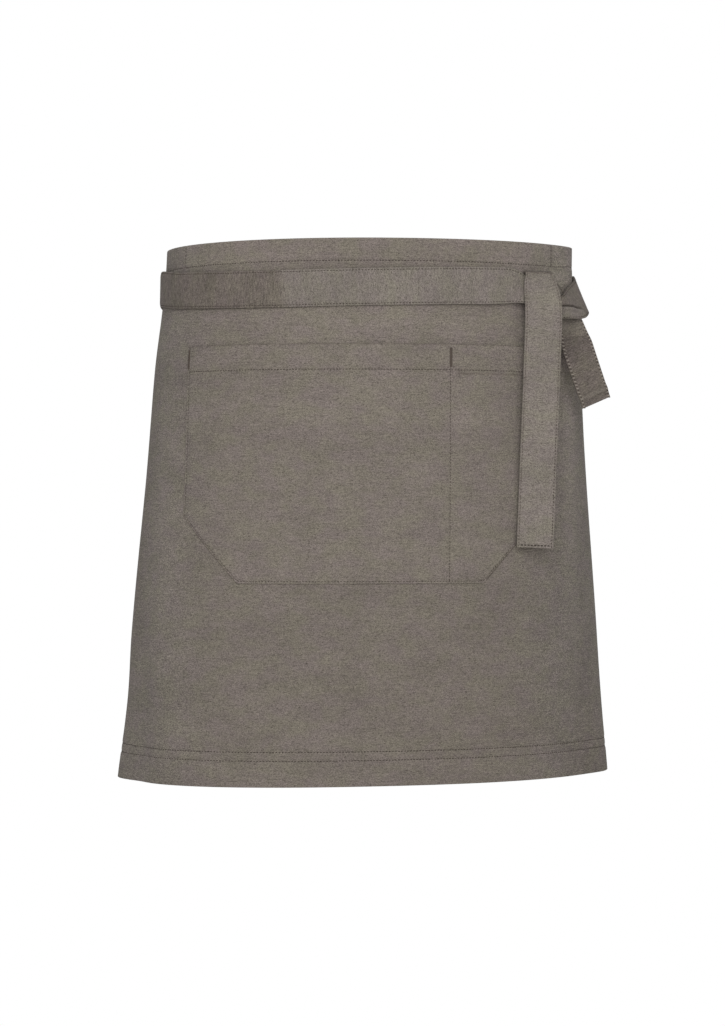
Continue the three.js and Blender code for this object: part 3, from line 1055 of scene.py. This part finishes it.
@dataclass
class PatchPocket(ClothPiece):
    """The wide pocket: a patch with a hemmed mouth, cut-off lower corners and a line that divides it."""

    node: ClassVar[str] = "pocket"
    slot: ClassVar[Slot] = Slot.CANVAS
    held: ClassVar[Held] = Held.LAID
    rests_on: ClassVar[tuple[str, ...]] = ("apron_panel",)

    panel: ApronPanel
    # The cut and its seams.
    top: float = -48
    deep: float = 197
    wide: float = 316
    mouth_seam: float = 21
    corner_wide: float = 54
    corner_deep: float = 56
    edge_seam: float = 1.7
    edge_seam_deep: float = 0.5
    divider: float = 73.5
    divider_deep: float = 0.45
    # Thickness, fullness and puckers.
    cloth: float = 0.8
    hem: float = 1.5
    lift: float = 0.3
    hem_turn: float = 3.0
    hem_step: float = 1.5
    puff_high: float = 1.1
    puff_edges: Span = (3, 46)
    puff_divider: Span = (0, 22)
    puff_drop: float = 60
    pucker_high: float = 0.16
    pucker_wide: float = 6
    edge_pucker_start: float = 1.7
    mouth_pucker_start: float = 0.4
    # Bar tacks and the rows' ends.
    tack_top: float = 3.0
    tack_long: float = 18.6
    tack_half: float = 1.3
    tack_pitch: float = 0.8
    mouth_line: float = 1.2
    mouth_margin: float = 2
    corner_margin: float = 0.6
    outline_step: float = 1.5
    # The grid and its pattern.
    step: float = 4.0
    rim: tuple[float, ...] = (0, 0.5, 1.0, 1.7, 2.4, 3.2)
    rim_wide: float = 4.5
    pattern_start: float = 900
    # Painted light and shade: the patch a little lighter, and painted shade at its mouth,
    # its slanting edges and under the hem's turn.
    light: float = 1.06
    painted_mouth_shade: float = 0.26
    mouth_edge: Span = (1.0, 0.1)
    painted_slant_shade: Span = (0.22, 0.5)
    slant_top: Span = (4, -2)
    slant_foot: Span = (1, 4)
    slant_edge: Span = (1.4, 0.5)
    painted_turn_shade: float = 0.26
    painted_turn_shade_wide: float = 0.9
    painted_turn_shade_from: Span = (2, 8)

    @property
    def foot(self) -> float:
        """The height of the lower edge."""
        return self.top - self.deep

    @property
    def corner(self) -> float:
        """The height where the cut-off corners begin."""
        return self.foot + self.corner_deep

    @property
    def seam(self) -> float:
        """The height of the row along the mouth's hem."""
        return self.top - self.mouth_seam

    def size(self) -> Span:
        """Gives the flat width and length."""
        return self.wide, self.deep

    def area(self) -> float:
        """Gives the flat area in square metres, without the cut-off corners."""
        return (self.wide * self.deep - self.corner_wide * self.corner_deep) * MM * MM

    def half(self, z: np.ndarray) -> np.ndarray:
        """Gives half the pocket's width at a height."""
        return self.wide / 2 - self.corner_wide * np.maximum(0, (self.corner - z) / self.corner_deep)

    def relief(self, along: np.ndarray, z: np.ndarray) -> np.ndarray:
        """Gives how far the pocket's face stands off the panel.

        Args:
            along: Lengths of cloth from the middle of the front.
            z: Heights, alike in shape.
        Returns:
            The distances.
        """
        edge = np.minimum(self.half(z) - np.abs(along), z - self.foot)
        aside = along - self.divider
        out = self.lift + self.cloth * (1 + smoothstep(self.seam - self.hem_step, self.seam, z))
        puff = smoothstep(*self.puff_edges, edge) * smoothstep(*self.puff_divider, np.abs(aside))
        out = out + self.puff_high * puff * smoothstep(self.top, self.top - self.puff_drop, z)
        out = out + groove(edge - self.edge_seam, self.edge_seam_deep)
        out = out + groove(z - self.seam) + groove(aside, self.divider_deep)
        for distance, place, start in (
            (edge - self.edge_seam, along + z, self.edge_pucker_start),
            (z - self.seam, along, self.mouth_pucker_start),
        ):
            out = out + self.pucker_high * hump(distance, self.pucker_wide) * ripple(place, start)
        return out

    def surface(self, along: np.ndarray, z: np.ndarray) -> tuple[np.ndarray, np.ndarray]:
        """Finds points of the outer face and its outward directions."""
        points, normals = self.panel.surface(along, z)
        return points + normals * self.relief(along, z)[..., None], normals

    def painted_shading(self, along: np.ndarray, z: np.ndarray) -> np.ndarray:
        """Gives the painted light and shade: a little lighter, with painted shade at the mouth's edge, the
        slanting edges and under the turned hem.

        Args:
            along: Lengths of cloth from the middle of the front.
            z: Heights, alike in shape.
        Returns:
            The painted lightness, 1 where none is painted.
        """
        painted_left_shade, right_dark = self.painted_slant_shade
        painted_shading = self.light - self.painted_mouth_shade * smoothstep(*self.mouth_edge, self.top - z)
        slanting = smoothstep(*self.slant_top, z - self.corner) * smoothstep(*self.slant_foot, z - self.foot)
        at_edge = smoothstep(*self.slant_edge, self.half(z) - np.abs(along))
        painted_shading -= np.where(along > 0, right_dark, painted_left_shade) * slanting * at_edge
        turn = hump(self.seam - self.hem_turn - z, self.painted_turn_shade_wide)
        return painted_shading - self.painted_turn_shade * turn * smoothstep(*self.painted_turn_shade_from, along - self.divider)

    def model(self) -> bpy.types.Object:
        """Models the pocket on grid lines that follow its slanting edges.

        Returns:
            The pocket.
        """
        mouth, foot = self.top - self.mouth_line, self.foot + self.edge_seam
        seams = (mouth, self.seam, self.seam - self.hem_turn, foot, self.corner)
        heights = grid_lines(self.foot, self.top, self.step, seams)
        rim = np.array(self.rim)
        full = self.wide / 2 - self.rim_wide
        inner = grid_lines(-full, full, self.step, (self.divider,))
        lines = []
        for half in self.half(heights):
            reach = half - self.rim_wide
            middle = np.interp(inner, (-full, self.divider, full), (-reach, self.divider, reach))
            lines.append(np.concatenate([rim - half, middle, (half - rim)[::-1]]))
        along = np.array(lines)
        z = np.repeat(heights[:, None], along.shape[1], axis=1)
        points, _ = self.surface(along, z)
        marks = {"painted_shading": self.painted_shading(along, z), "mottle_and_sheen": self.form.mottle_and_sheen(along)}
        flat = np.stack([along + self.pattern_start, z], axis=-1)
        return ClothGrid(points, flat, marks, z >= self.seam).make(f"{self.node}_cloth", self.hem, self.cloth)

    def outline(self) -> np.ndarray:
        """Lays out the row that sews the pocket on, from mouth to mouth.

        Returns:
            The places along the cloth, and their heights.
        """
        side = self.wide / 2 - self.edge_seam
        low = self.wide / 2 - self.corner_wide - self.corner_margin
        right = ((low, self.foot + self.edge_seam), (side, self.corner), (side, self.top))
        stops = np.array([*((-along, z) for along, z in right[::-1]), *right])
        lengths = run_lengths(stops)
        return read_along(np.arange(0, lengths[-1], self.outline_step), lengths, stops).T

    def tacks(self) -> list[Trail]:
        """Lays out the close cross stitches of the three bar tacks at the mouth.

        Returns:
            One line for each cross stitch.
        """
        side = self.wide / 2 - self.edge_seam
        heights = np.arange(self.top - self.tack_top, self.top - self.tack_long, -self.tack_pitch)
        found = []
        for place in (-side, self.divider, side):
            along = np.linspace(place - self.tack_half, place + self.tack_half, 3)
            found += [Trail(*self.surface(along, np.full_like(along, z))) for z in heights]
        return found

    def rows(self) -> dict[str, tuple[Stitching, list[Trail]]]:
        """Lays out the rows of stitches.

        Returns:
            The rows round the edge, along the mouth's hem and down the divider, and the bar tacks.
        """
        reach = self.wide / 2 - self.mouth_margin
        sweep = np.linspace(-reach, reach, 200)
        drop = np.linspace(self.top - self.tack_long, self.foot + self.edge_seam, 120)
        lines = (
            self.outline(),
            (sweep, np.full_like(sweep, self.seam)),
            (np.full_like(drop, self.divider), drop),
        )
        sewn = [Trail(*self.surface(along, z)) for along, z in lines]
        return {"stitches": (TONAL, sewn), "bar_tacks": (TACKING, self.tacks())}


@dataclass
class Tie(ClothPiece):
    """A flat tie of folded canvas, stitched along both edges."""

    slot: ClassVar[Slot] = Slot.TIE_CANVAS
    held: ClassVar[Held] = Held.STRETCHED
    rests_on: ClassVar[tuple[str, ...]] = ("apron_panel",)

    # The cut, its edges and the lines across it.
    wide: float = 31
    thick: float = 2
    edge_seam: float = 1.8
    edge_seam_deep: float = 0.2
    edge_seam_wide: float = 0.8
    edge_round: float = 0.8
    edge_lines: tuple[float, ...] = (0.0, 0.12, 0.4, 0.8, 1.3, 1.8, 2.3, 2.9)
    plain_lines: Span = (3.6, 15.2)
    across_step: float = 1.0
    # The path.
    step: float = 2.0
    round_step: float = 6
    curve_steps: int = 24
    ease_reach: int = 4
    ease_soft: float = 1.3
    # Pleats and rows.
    pleat_high: float = 2.6
    pleat_long: float = 15.5
    pleat_from: float = 0.3
    stitch_sink: float = 0.14
    end_margin: float = 3
    end_sink: float = 0.1
    smooth_angle: float = 50
    pattern_start: float = 200

    # Worked out from the stations.
    long: float = field(init=False)
    along: np.ndarray = field(init=False)
    path: np.ndarray = field(init=False)
    across: np.ndarray = field(init=False)
    face: np.ndarray = field(init=False)
    edge: np.ndarray = field(init=False)

    def __post_init__(self) -> None:
        """Runs the tie's path, and its width and directions along it."""
        stations = self.stations()
        stations[:, 4] = np.degrees(np.unwrap(np.radians(stations[:, 4])))
        dense = smooth_path(stations[:, :3], self.curve_steps)
        lengths = run_lengths(dense)
        self.long = float(lengths[-1])
        self.along = np.linspace(0, self.long, round(self.long / self.step) + 1)
        self.path = read_along(self.along, lengths, dense)
        numbers = np.interp(self.along, lengths, np.linspace(0, len(stations) - 1, len(dense)))
        columns = read_along(numbers, np.arange(len(stations)), stations[:, 3:])
        self.across, heading, pitch = (self.eased(column) for column in columns.T)
        heading, pitch = np.radians(heading), np.radians(pitch)
        level = np.cos(pitch)
        face = np.stack([level * np.cos(heading), level * np.sin(heading), np.sin(pitch)], axis=1)
        way = unit(np.gradient(self.path, axis=0))
        self.face = squared(face, way)
        self.edge = np.cross(self.face, way)

    @abstractmethod
    def stations(self) -> np.ndarray:
        """Lays out the tie's stations: place, width, heading and pitch of the outer face."""

    def round_stations(self, rows: Rows) -> np.ndarray:
        """Lays out stations where the tie runs round the waist.

        Args:
            rows: Turn, height, distance and lean.
        Returns:
            Place, width, heading and pitch for each station.
        """
        steps = math.ceil(abs(rows[-1][0] - rows[0][0]) / self.round_step)
        degrees = np.linspace(rows[0][0], rows[-1][0], steps + 1)
        up, off, lean = SmoothTable(rows)(degrees).T
        sections = self.form.sections(up)
        turn = np.radians((degrees + 180) % 360 - 180)
        reach = math.radians(0.5)
        behind, here, ahead = (self.form.plan(sections, turn + step) for step in (-reach, 0, reach))
        way = unit(ahead - behind)
        heading = np.degrees(np.arctan2(-way[:, 0], way[:, 1]))
        place = here + outward(way) * off[:, None]
        return np.column_stack([place, up, np.full_like(up, self.wide), heading, lean])

    def eased(self, values: np.ndarray) -> np.ndarray:
        """Softens a column over a few millimetres of the tie's length.

        Args:
            values: One value for each place along the tie.
        Returns:
            The softened values.
        """
        kernel = hump(np.arange(-self.ease_reach, self.ease_reach + 1), self.ease_soft)
        padded = np.pad(values, self.ease_reach, mode="edge")
        return np.convolve(padded, kernel / kernel.sum(), mode="valid")

    def size(self) -> Span:
        """Gives the flat width and length."""
        return self.wide, self.long

    def fold(self, along: np.ndarray, across: np.ndarray) -> np.ndarray:
        """Gives how far lengthwise pleats move the tie out where it is drawn narrow."""
        drawn = 1 - np.interp(along, self.along, self.across) / self.wide - self.pleat_from
        return self.pleat_high * np.clip(drawn, 0, 1) * np.sin(across * math.tau / self.pleat_long)

    @abstractmethod
    def painted_shading(self, points: np.ndarray, along: np.ndarray, across: np.ndarray) -> np.ndarray:
        """Gives the painted light and shade at points of the tie, and at their places along and across it."""

    def strip(self, across: np.ndarray, out: np.ndarray, rows: np.ndarray) -> np.ndarray:
        """Finds points of the tie by the distance from its middle line and from its middle layer.

        Args:
            across: Distances across, before the tie is drawn narrow.
            out: Distances towards the outer face, alike in shape.
            rows: Numbers of the places along the tie.
        Returns:
            The points, a row for each place along the tie.
        """
        drawn = (self.across[rows] / self.wide)[:, None] * across[None, :]
        lift = self.fold(self.along[rows][:, None], across[None, :]) + out[None, :]
        points = self.path[rows][:, None, :] + self.edge[rows][:, None, :] * drawn[..., None]
        return points + self.face[rows][:, None, :] * lift[..., None]

    def profile(self) -> tuple[np.ndarray, np.ndarray]:
        """Gives the closed section: rounded edges, and a groove at each row of stitches on both faces.

        Returns:
            Distances across and towards the outer face, all round the section.
        """
        half = self.wide / 2
        inset = np.array([*self.edge_lines, *np.arange(*self.plain_lines, self.across_step)])
        across = np.concatenate([inset - half, [0.0], (half - inset)[::-1]])
        near = half - np.abs(across)
        bend = np.clip(1 - near / self.edge_round, 0, 1)
        high = self.thick / 2 * np.sqrt(1 - bend**2)
        high = high + groove(near - self.edge_seam, self.edge_seam_deep, self.edge_seam_wide)
        ring = np.concatenate([across, across[-2:0:-1]])
        return ring, np.concatenate([high, -high[-2:0:-1]])

    def model(self) -> bpy.types.Object:
        """Models the tie as a closed strip.

        Returns:
            The tie.
        """
        across, out = self.profile()
        points = self.strip(across, out, np.arange(len(self.along)))
        number = np.arange(points[..., 0].size).reshape(points.shape[:2])
        turned = np.roll(number, -1, axis=1)
        corners = (number[:-1], turned[:-1], turned[1:], number[1:])
        faces = np.stack([corner.ravel() for corner in corners], axis=1).tolist()
        faces += [number[0].tolist(), number[-1, ::-1].tolist()]
        weft = across[None, :] + self.pattern_start
        flat = np.stack(np.broadcast_arrays(weft, self.along[:, None]), axis=-1)
        painted_shading = self.painted_shading(points, self.along[:, None], across[None, :])
        mesh = cloth_mesh(f"{self.node}_cloth", points, faces, flat, {"painted_shading": painted_shading})
        shell = bmesh.new()
        shell.from_mesh(mesh)
        bmesh.ops.recalc_face_normals(shell, faces=shell.faces)
        shell.to_mesh(mesh)
        shell.free()
        piece = put_in_scene(f"{self.node}_cloth", mesh)
        bpy.ops.object.shade_smooth_by_angle(angle=math.radians(self.smooth_angle))
        return piece

    def edge_trails(self, side: Side, first: float, last: float, inset: float | None = None) -> list[Trail]:
        """Lays out the rows along both edges of one face.

        Args:
            side: The face.
            first: Where the rows begin, as a share of the tie's length.
            last: Where they end.
            inset: How far they lie from the edges, or none for the edge seam's distance.
        Returns:
            The two rows.
        """
        count = len(self.along) - 1
        rows = np.arange(round(first * count), round(last * count) + 1)
        reach = self.wide / 2 - (self.edge_seam if inset is None else inset)
        out = np.array([side.value * (self.thick / 2 - self.stitch_sink)])
        return [
            Trail(self.strip(np.array([end * reach]), out, rows)[:, 0], side.value * self.face[rows])
            for end in (-1, 1)
        ]

    def end_trail(self, side: Side, inset: float) -> Trail:
        """Lays out the row across the tie's free end.

        Args:
            side: The face.
            inset: How far the row lies from the end.
        Returns:
            The row.
        """
        row = np.array([round((self.long - inset) / self.long * (len(self.along) - 1))])
        reach = self.wide / 2 - self.end_margin
        across = np.linspace(-reach, reach, 24)
        out = np.full_like(across, side.value * (self.thick / 2 - self.end_sink))
        normals = np.repeat(side.value * self.face[row], len(across), axis=0)
        return Trail(self.strip(across, out, row)[0], normals)


@dataclass
class FrontTie(Tie):
    """The tie that crosses the front and ends in the short slanting tail."""

    node: ClassVar[str] = "front_tie"

    # The tail, with its crease and the hollow past it, by the length to the free end: the crease is a ridge
    # with a painted highlight, and the hollow past it is only painted shade.
    tail: float = 95
    tail_inset: float = 1.5
    crease: float = 8.2
    crease_wide: float = 1.4
    painted_hollow: float = 4.4
    painted_hollow_wide: float = 1.7
    painted_hollow_share: float = 0.75
    ridge_high: float = 0.7
    ridge_wide: float = 2.5
    # Edges that cup towards the cloth.
    cup_deep: float = 0.6
    cup_edges: Span = (4, 0)
    cup_ends: Span = (175, 190)
    # Painted shade on the left part and the tail, painted light near the lip and on the crease, and painted
    # shade in the slanting fold.
    painted_left_shade: float = 0.25
    left_starts: Span = (-61, -72)
    left_lean: float = 0.16
    left_round: Span = (40, 0)
    painted_far_shade: float = 0.06
    far_starts: Span = (-135, -160)
    painted_tail_shade: float = 0.25
    tail_starts: Span = (158, 163)
    painted_tail_light: float = 0.15
    tail_lit_starts: Span = (-40, -27)
    painted_fold_shade: float = 0.09
    fold_slope: float = 0.5
    fold_height: float = 140
    fold_starts: Span = (-3, 3)
    fold_ends: Span = (19, 7)
    painted_crease_light: float = 0.18

    def stations(self) -> np.ndarray:
        """Lays out the tie's stations: place, width, heading and pitch of the outer face."""
        return np.vstack([self.round_stations(FRONT_TIE_ROUND), FRONT_TIE_KNOT])

    def fold(self, along: np.ndarray, across: np.ndarray) -> np.ndarray:
        """Gives the pleats of a narrow tie, edges that cup towards the cloth and the ridge of the tail's end.

        Args:
            along: Lengths along the tie.
            across: Distances from its middle line.
        Returns:
            How far the tie moves out.
        """
        left = self.long - along
        ridge = self.ridge_high * hump(left - self.crease, self.ridge_wide)
        cup = smoothstep(*self.cup_edges, self.wide / 2 - np.abs(across)) * smoothstep(*self.cup_ends, left)
        return super().fold(along, across) + ridge - self.cup_deep * cup

    def painted_shading(self, points: np.ndarray, along: np.ndarray, across: np.ndarray) -> np.ndarray:
        """Gives the painted light and shade: painted shade on the left of the front and on the tail, lighter
        near the lip, with painted shade in a soft fold, a painted highlight on the crease and painted shade
        in the hollow.

        Args:
            points: Points of the tie.
            along: Their lengths along it.
            across: Their distances from its middle line.
        Returns:
            The painted lightness, 1 where none is painted.
        """
        x, y, z = np.moveaxis(points, -1, 0)
        left = smoothstep(*self.left_starts, x + self.left_lean * z) * smoothstep(*self.left_round, y)
        above = z - self.fold_slope * x + self.fold_height
        fold = smoothstep(*self.fold_starts, above) * smoothstep(*self.fold_ends, above)
        to_end = self.long - along
        crease = hump(to_end - self.crease, self.crease_wide)
        crease = crease - self.painted_hollow_share * hump(to_end - self.painted_hollow, self.painted_hollow_wide)
        tail = self.painted_tail_shade - self.painted_tail_light * smoothstep(*self.tail_lit_starts, z)
        tail = tail + self.painted_fold_shade * fold - self.painted_crease_light * crease
        dark = self.painted_left_shade + self.painted_far_shade * smoothstep(*self.far_starts, x)
        return 1 - left * dark - smoothstep(*self.tail_starts, x) * tail

    def rows(self) -> dict[str, tuple[Stitching, list[Trail]]]:
        """Lays out the rows of stitches.

        Returns:
            The rows along the edges, and the tail's pale cross stitches with painted shade in their gaps.
        """
        tail = 1 - self.tail / self.long
        plain = [*self.edge_trails(Side.OUTER, 0, tail), *self.edge_trails(Side.INNER, 0, 1)]
        crossed = self.edge_trails(Side.OUTER, tail, 1, self.tail_inset)
        return {
            "stitches": (TONAL, plain), "tail_stitches": (CROSSING, crossed), "tail_gap_shade": (GAP_SHADE, crossed),
        }


@dataclass
class HipTie(Tie):
    """The tie that comes round the hip, folds over the front tie and ends in the long tail."""

    node: ClassVar[str] = "hip_tie"

    # The grid and the tail's rows, by the length to the free end.
    across_step: float = 0.55
    soft_tail: float = 105
    end_row: float = 2.0
    # The slit of the knot, with a roll above it and a lip below.
    slit_heights: tuple[float, ...] = (10.0, 7.1, 4.6, -1.5, -7.0)
    slit_leads: Span = (-3, 1)
    slit_opens: Span = (-2, 5)
    slit_closes: Span = (0, 4)
    slit_deep: float = 2.6
    slit_wide: float = 0.55
    roll_high: float = 1.0
    roll_wide: float = 1.0
    roll_above: float = 1.5
    lip_high: float = 1.7
    lip_wide: float = 2.6
    lip_below: float = 3.6
    # Painted shade on the knot's facet and edges, a painted shadow line past its crest, and the tail a little
    # lighter with painted shade at its edges.
    knot_starts: Span = (-40, -20)
    knot_ends: Span = (6, 0)
    painted_facet_shade: float = 0.21
    facet_soft: Span = (-0.5, 1.5)
    painted_rim_shade: float = 0.16
    rim_wide: Span = (2.2, 0.6)
    painted_crest_shadow: float = 0.42
    crest_starts: Span = (-1.0, 0.2)
    crest_ends: Span = (4.4, 2.4)
    tail_starts: Span = (225, 205)
    tail_light: float = 0.06
    painted_tail_rim_shade: float = 0.09

    def stations(self) -> np.ndarray:
        """Lays out the tie's stations: place, width, heading and pitch of the outer face."""
        parts = (self.round_stations(HIP_TIE_ROUND), HIP_TIE_KNOT, self.turn_over_stations(), HIP_TIE_TAIL)
        return np.vstack(parts)

    def turn_over_stations(self) -> np.ndarray:
        """Lays out stations where the tie folds over the front tie, half round a small radius.

        Returns:
            Place, width, heading and pitch for each station.
        """
        x, y, z, wide, heading = TURN_OVER
        bend = np.linspace(0, math.pi, TURN_OVER_STEPS + 1)
        out = -TURN_OVER_RADIUS * np.cos(bend)
        aim = math.radians(heading)
        return np.column_stack([
            x + out * math.cos(aim), y + out * math.sin(aim), z + TURN_OVER_RADIUS * np.sin(bend),
            np.full_like(bend, wide), np.full_like(bend, heading), -np.degrees(bend),
        ])

    @cached_property
    def lip(self) -> list[float]:
        """How far along the tie the stations of the knot's lip lie."""
        places = np.array(HIP_TIE_LIP)[:, :3]
        return [float(self.along[np.argmin(np.linalg.norm(self.path - place, axis=1))]) for place in places]

    @cached_property
    def crest(self) -> float:
        """How far along the tie its highest place past the lip lies."""
        return self.along[np.argmax(np.where(self.along > self.lip[-1], self.path[:, 2], -np.inf))]

    def slit(self, along: np.ndarray, across: np.ndarray) -> tuple[np.ndarray, np.ndarray]:
        """Finds the slit above the lip.

        Args:
            along: Lengths along the tie.
            across: Distances from its middle line.
        Returns:
            How open the slit is, and the distance below it.
        """
        start, end = self.lip[0], self.lip[-1]
        leads = [start + lead for lead in self.slit_leads]
        opens = [start + lead for lead in self.slit_opens]
        closes = [end + lead for lead in self.slit_closes]
        middle = np.interp(along, [*leads, *self.lip[1:]], self.slit_heights)
        share = np.interp(along, [*opens, *closes], (0, 1, 1, 0))
        return share, across - middle

    def fold(self, along: np.ndarray, across: np.ndarray) -> np.ndarray:
        """Gives the pleats of a narrow tie, and the deep one above a lip as the tie enters the knot.

        Args:
            along: Lengths along the tie.
            across: Distances from its middle line.
        Returns:
            How far the tie moves out.
        """
        share, below = self.slit(along, across)
        slit = groove(below, self.slit_deep, self.slit_wide)
        roll = self.roll_high * hump(below + self.roll_above, self.roll_wide)
        lip = self.lip_high * hump(below - self.lip_below, self.lip_wide)
        return super().fold(along, across) * (along > self.lip[-1]) + share * (slit + roll + lip)

    def painted_shading(self, points: np.ndarray, along: np.ndarray, across: np.ndarray) -> np.ndarray:
        """Gives the painted light and shade: painted shade above the slit and at the knot's edges, a painted
        shadow line past the crest, and the tail a little lighter with painted shade at its edges.

        Args:
            points: Points of the tie.
            along: Their lengths along it.
            across: Their distances from its middle line.
        Returns:
            The painted lightness, 1 where none is painted.
        """
        share, below = self.slit(along, across)
        entered, left = along - self.lip[0], along - self.lip[-1]
        knot = smoothstep(*self.knot_starts, entered) * smoothstep(*self.knot_ends, left)
        facet = knot * (1 - share * smoothstep(*self.facet_soft, below))
        rim = smoothstep(*self.rim_wide, self.wide / 2 - np.abs(across))
        past = along - self.crest
        crest = smoothstep(*self.crest_starts, past) * smoothstep(*self.crest_ends, past)
        tail = smoothstep(*self.tail_starts, self.long - along) * (self.tail_light - self.painted_tail_rim_shade * rim)
        return 1 - self.painted_facet_shade * facet - self.painted_rim_shade * knot * rim - self.painted_crest_shadow * crest + tail

    def rows(self) -> dict[str, tuple[Stitching, list[Trail]]]:
        """Lays out the rows of stitches.

        Returns:
            The rows along the edges, those that look paler on the tail, and the row across its end.
        """
        low = 1 - self.soft_tail / self.long
        lower = self.edge_trails(Side.INNER, low, 1)
        plain = [*self.edge_trails(Side.OUTER, 0, 1), lower[0]]
        soft = [*self.edge_trails(Side.INNER, 0, low), lower[1]]
        end = [self.end_trail(Side.INNER, self.end_row)]
        return {"stitches": (TONAL, plain), "soft_stitches": (SOFT, soft), "end_stitches": (ENDING, end)}


@dataclass
class Studio:
    """The pale floor, the white wall behind, soft light and the camera at the photo's angle, in metres."""

    floor_z: float = -1.0
    floor_size: Span = (3.0, 3.0)
    wall_y: float = 3.0
    wall_size: Span = (2.4, 3.0)
    eye: Place = (0.0, -2.331, -0.187)
    lens: float = 94.14
    sensor: float = 36
    ambient: float = 0.46
    lamp_place: Place = (0.05, -2.0, 0.55)
    lamp_size: float = 1.6
    lamp_power: float = 20
    floor_paint: SetPaint = SetPaint("pale floor paint", "e8e6e2")
    wall_paint: SetPaint = SetPaint("lit white wall", "ffffff", glow=1.0)

    def flat(self, name: str, size: Span, place: Place, tilt: float, paint: SetPaint) -> None:
        """Adds a flat piece of the set that isn't part of the object.

        Args:
            name: The piece's name.
            size: Its width and length.
            place: Its middle.
            tilt: Radians from level.
            paint: Its finish.
        """
        bpy.ops.object.select_all(action="DESELECT")
        bpy.ops.mesh.primitive_plane_add(size=1, location=place, rotation=(tilt, 0, 0))
        made = bpy.context.active_object
        made.name = name
        made.scale = (*size, 1)
        made.data.materials.append(paint.material())

    def light(self) -> None:
        """Adds the room's even light, and a soft square lamp in front that looks at the apron."""
        world = bpy.data.worlds.new("soft room")
        bpy.context.scene.world = world
        world.use_nodes = True
        world.node_tree.nodes.clear()
        even = add(world.node_tree, "Background", {"Color": WHITE, "Strength": self.ambient})
        add(world.node_tree, "OutputWorld", {"Surface": even.outputs[0]})
        data = bpy.data.lights.new("front light", "AREA")
        data.shape = "SQUARE"
        data.size = self.lamp_size
        data.energy = self.lamp_power
        lamp = bpy.data.objects.new("front light", data)
        bpy.context.collection.objects.link(lamp)
        lamp.location = self.lamp_place
        aim = lamp.location * -1
        aim.z += self.eye[2]
        lamp.rotation_euler = aim.to_track_quat("-Z", "Y").to_euler()

    def build(self) -> None:
        """Builds the set, the lights and the camera."""
        scene = bpy.context.scene
        scene.view_settings.view_transform = "Standard"
        self.flat("floor", self.floor_size, (0, 0, self.floor_z), 0, self.floor_paint)
        self.flat("wall", self.wall_size, (0, self.wall_y, self.eye[2]), math.pi / 2, self.wall_paint)
        self.light()
        data = bpy.data.cameras.new("camera")
        data.lens = self.lens
        data.sensor_width = self.sensor
        camera = bpy.data.objects.new("camera", data)
        bpy.context.collection.objects.link(camera)
        camera.location = self.eye
        camera.rotation_euler = (math.pi / 2, 0, 0)
        scene.camera = camera


def main() -> None:
    """Builds the set and the apron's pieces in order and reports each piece."""
    logging.basicConfig(level=logging.INFO, format="%(name)s %(message)s")
    Studio().build()
    form = WaistForm()
    canvas = HeatheredCanvas("heathered cotton canvas").material()
    tie_canvas = HeatheredCanvas("heathered cotton canvas, ties", ground="8a827a").material()
    panel = ApronPanel(form, canvas)
    sheets = (panel, PatchPocket(form, canvas, panel), FrontTie(form, tie_canvas), HipTie(form, tie_canvas))
    for sheet in sheets:
        piece = sheet.build()
        LOG.info("%s: %d faces, %.0f by %.0f mm flat", piece.name, len(piece.data.polygons), *sheet.size())


if __name__ == "__main__":
    main()
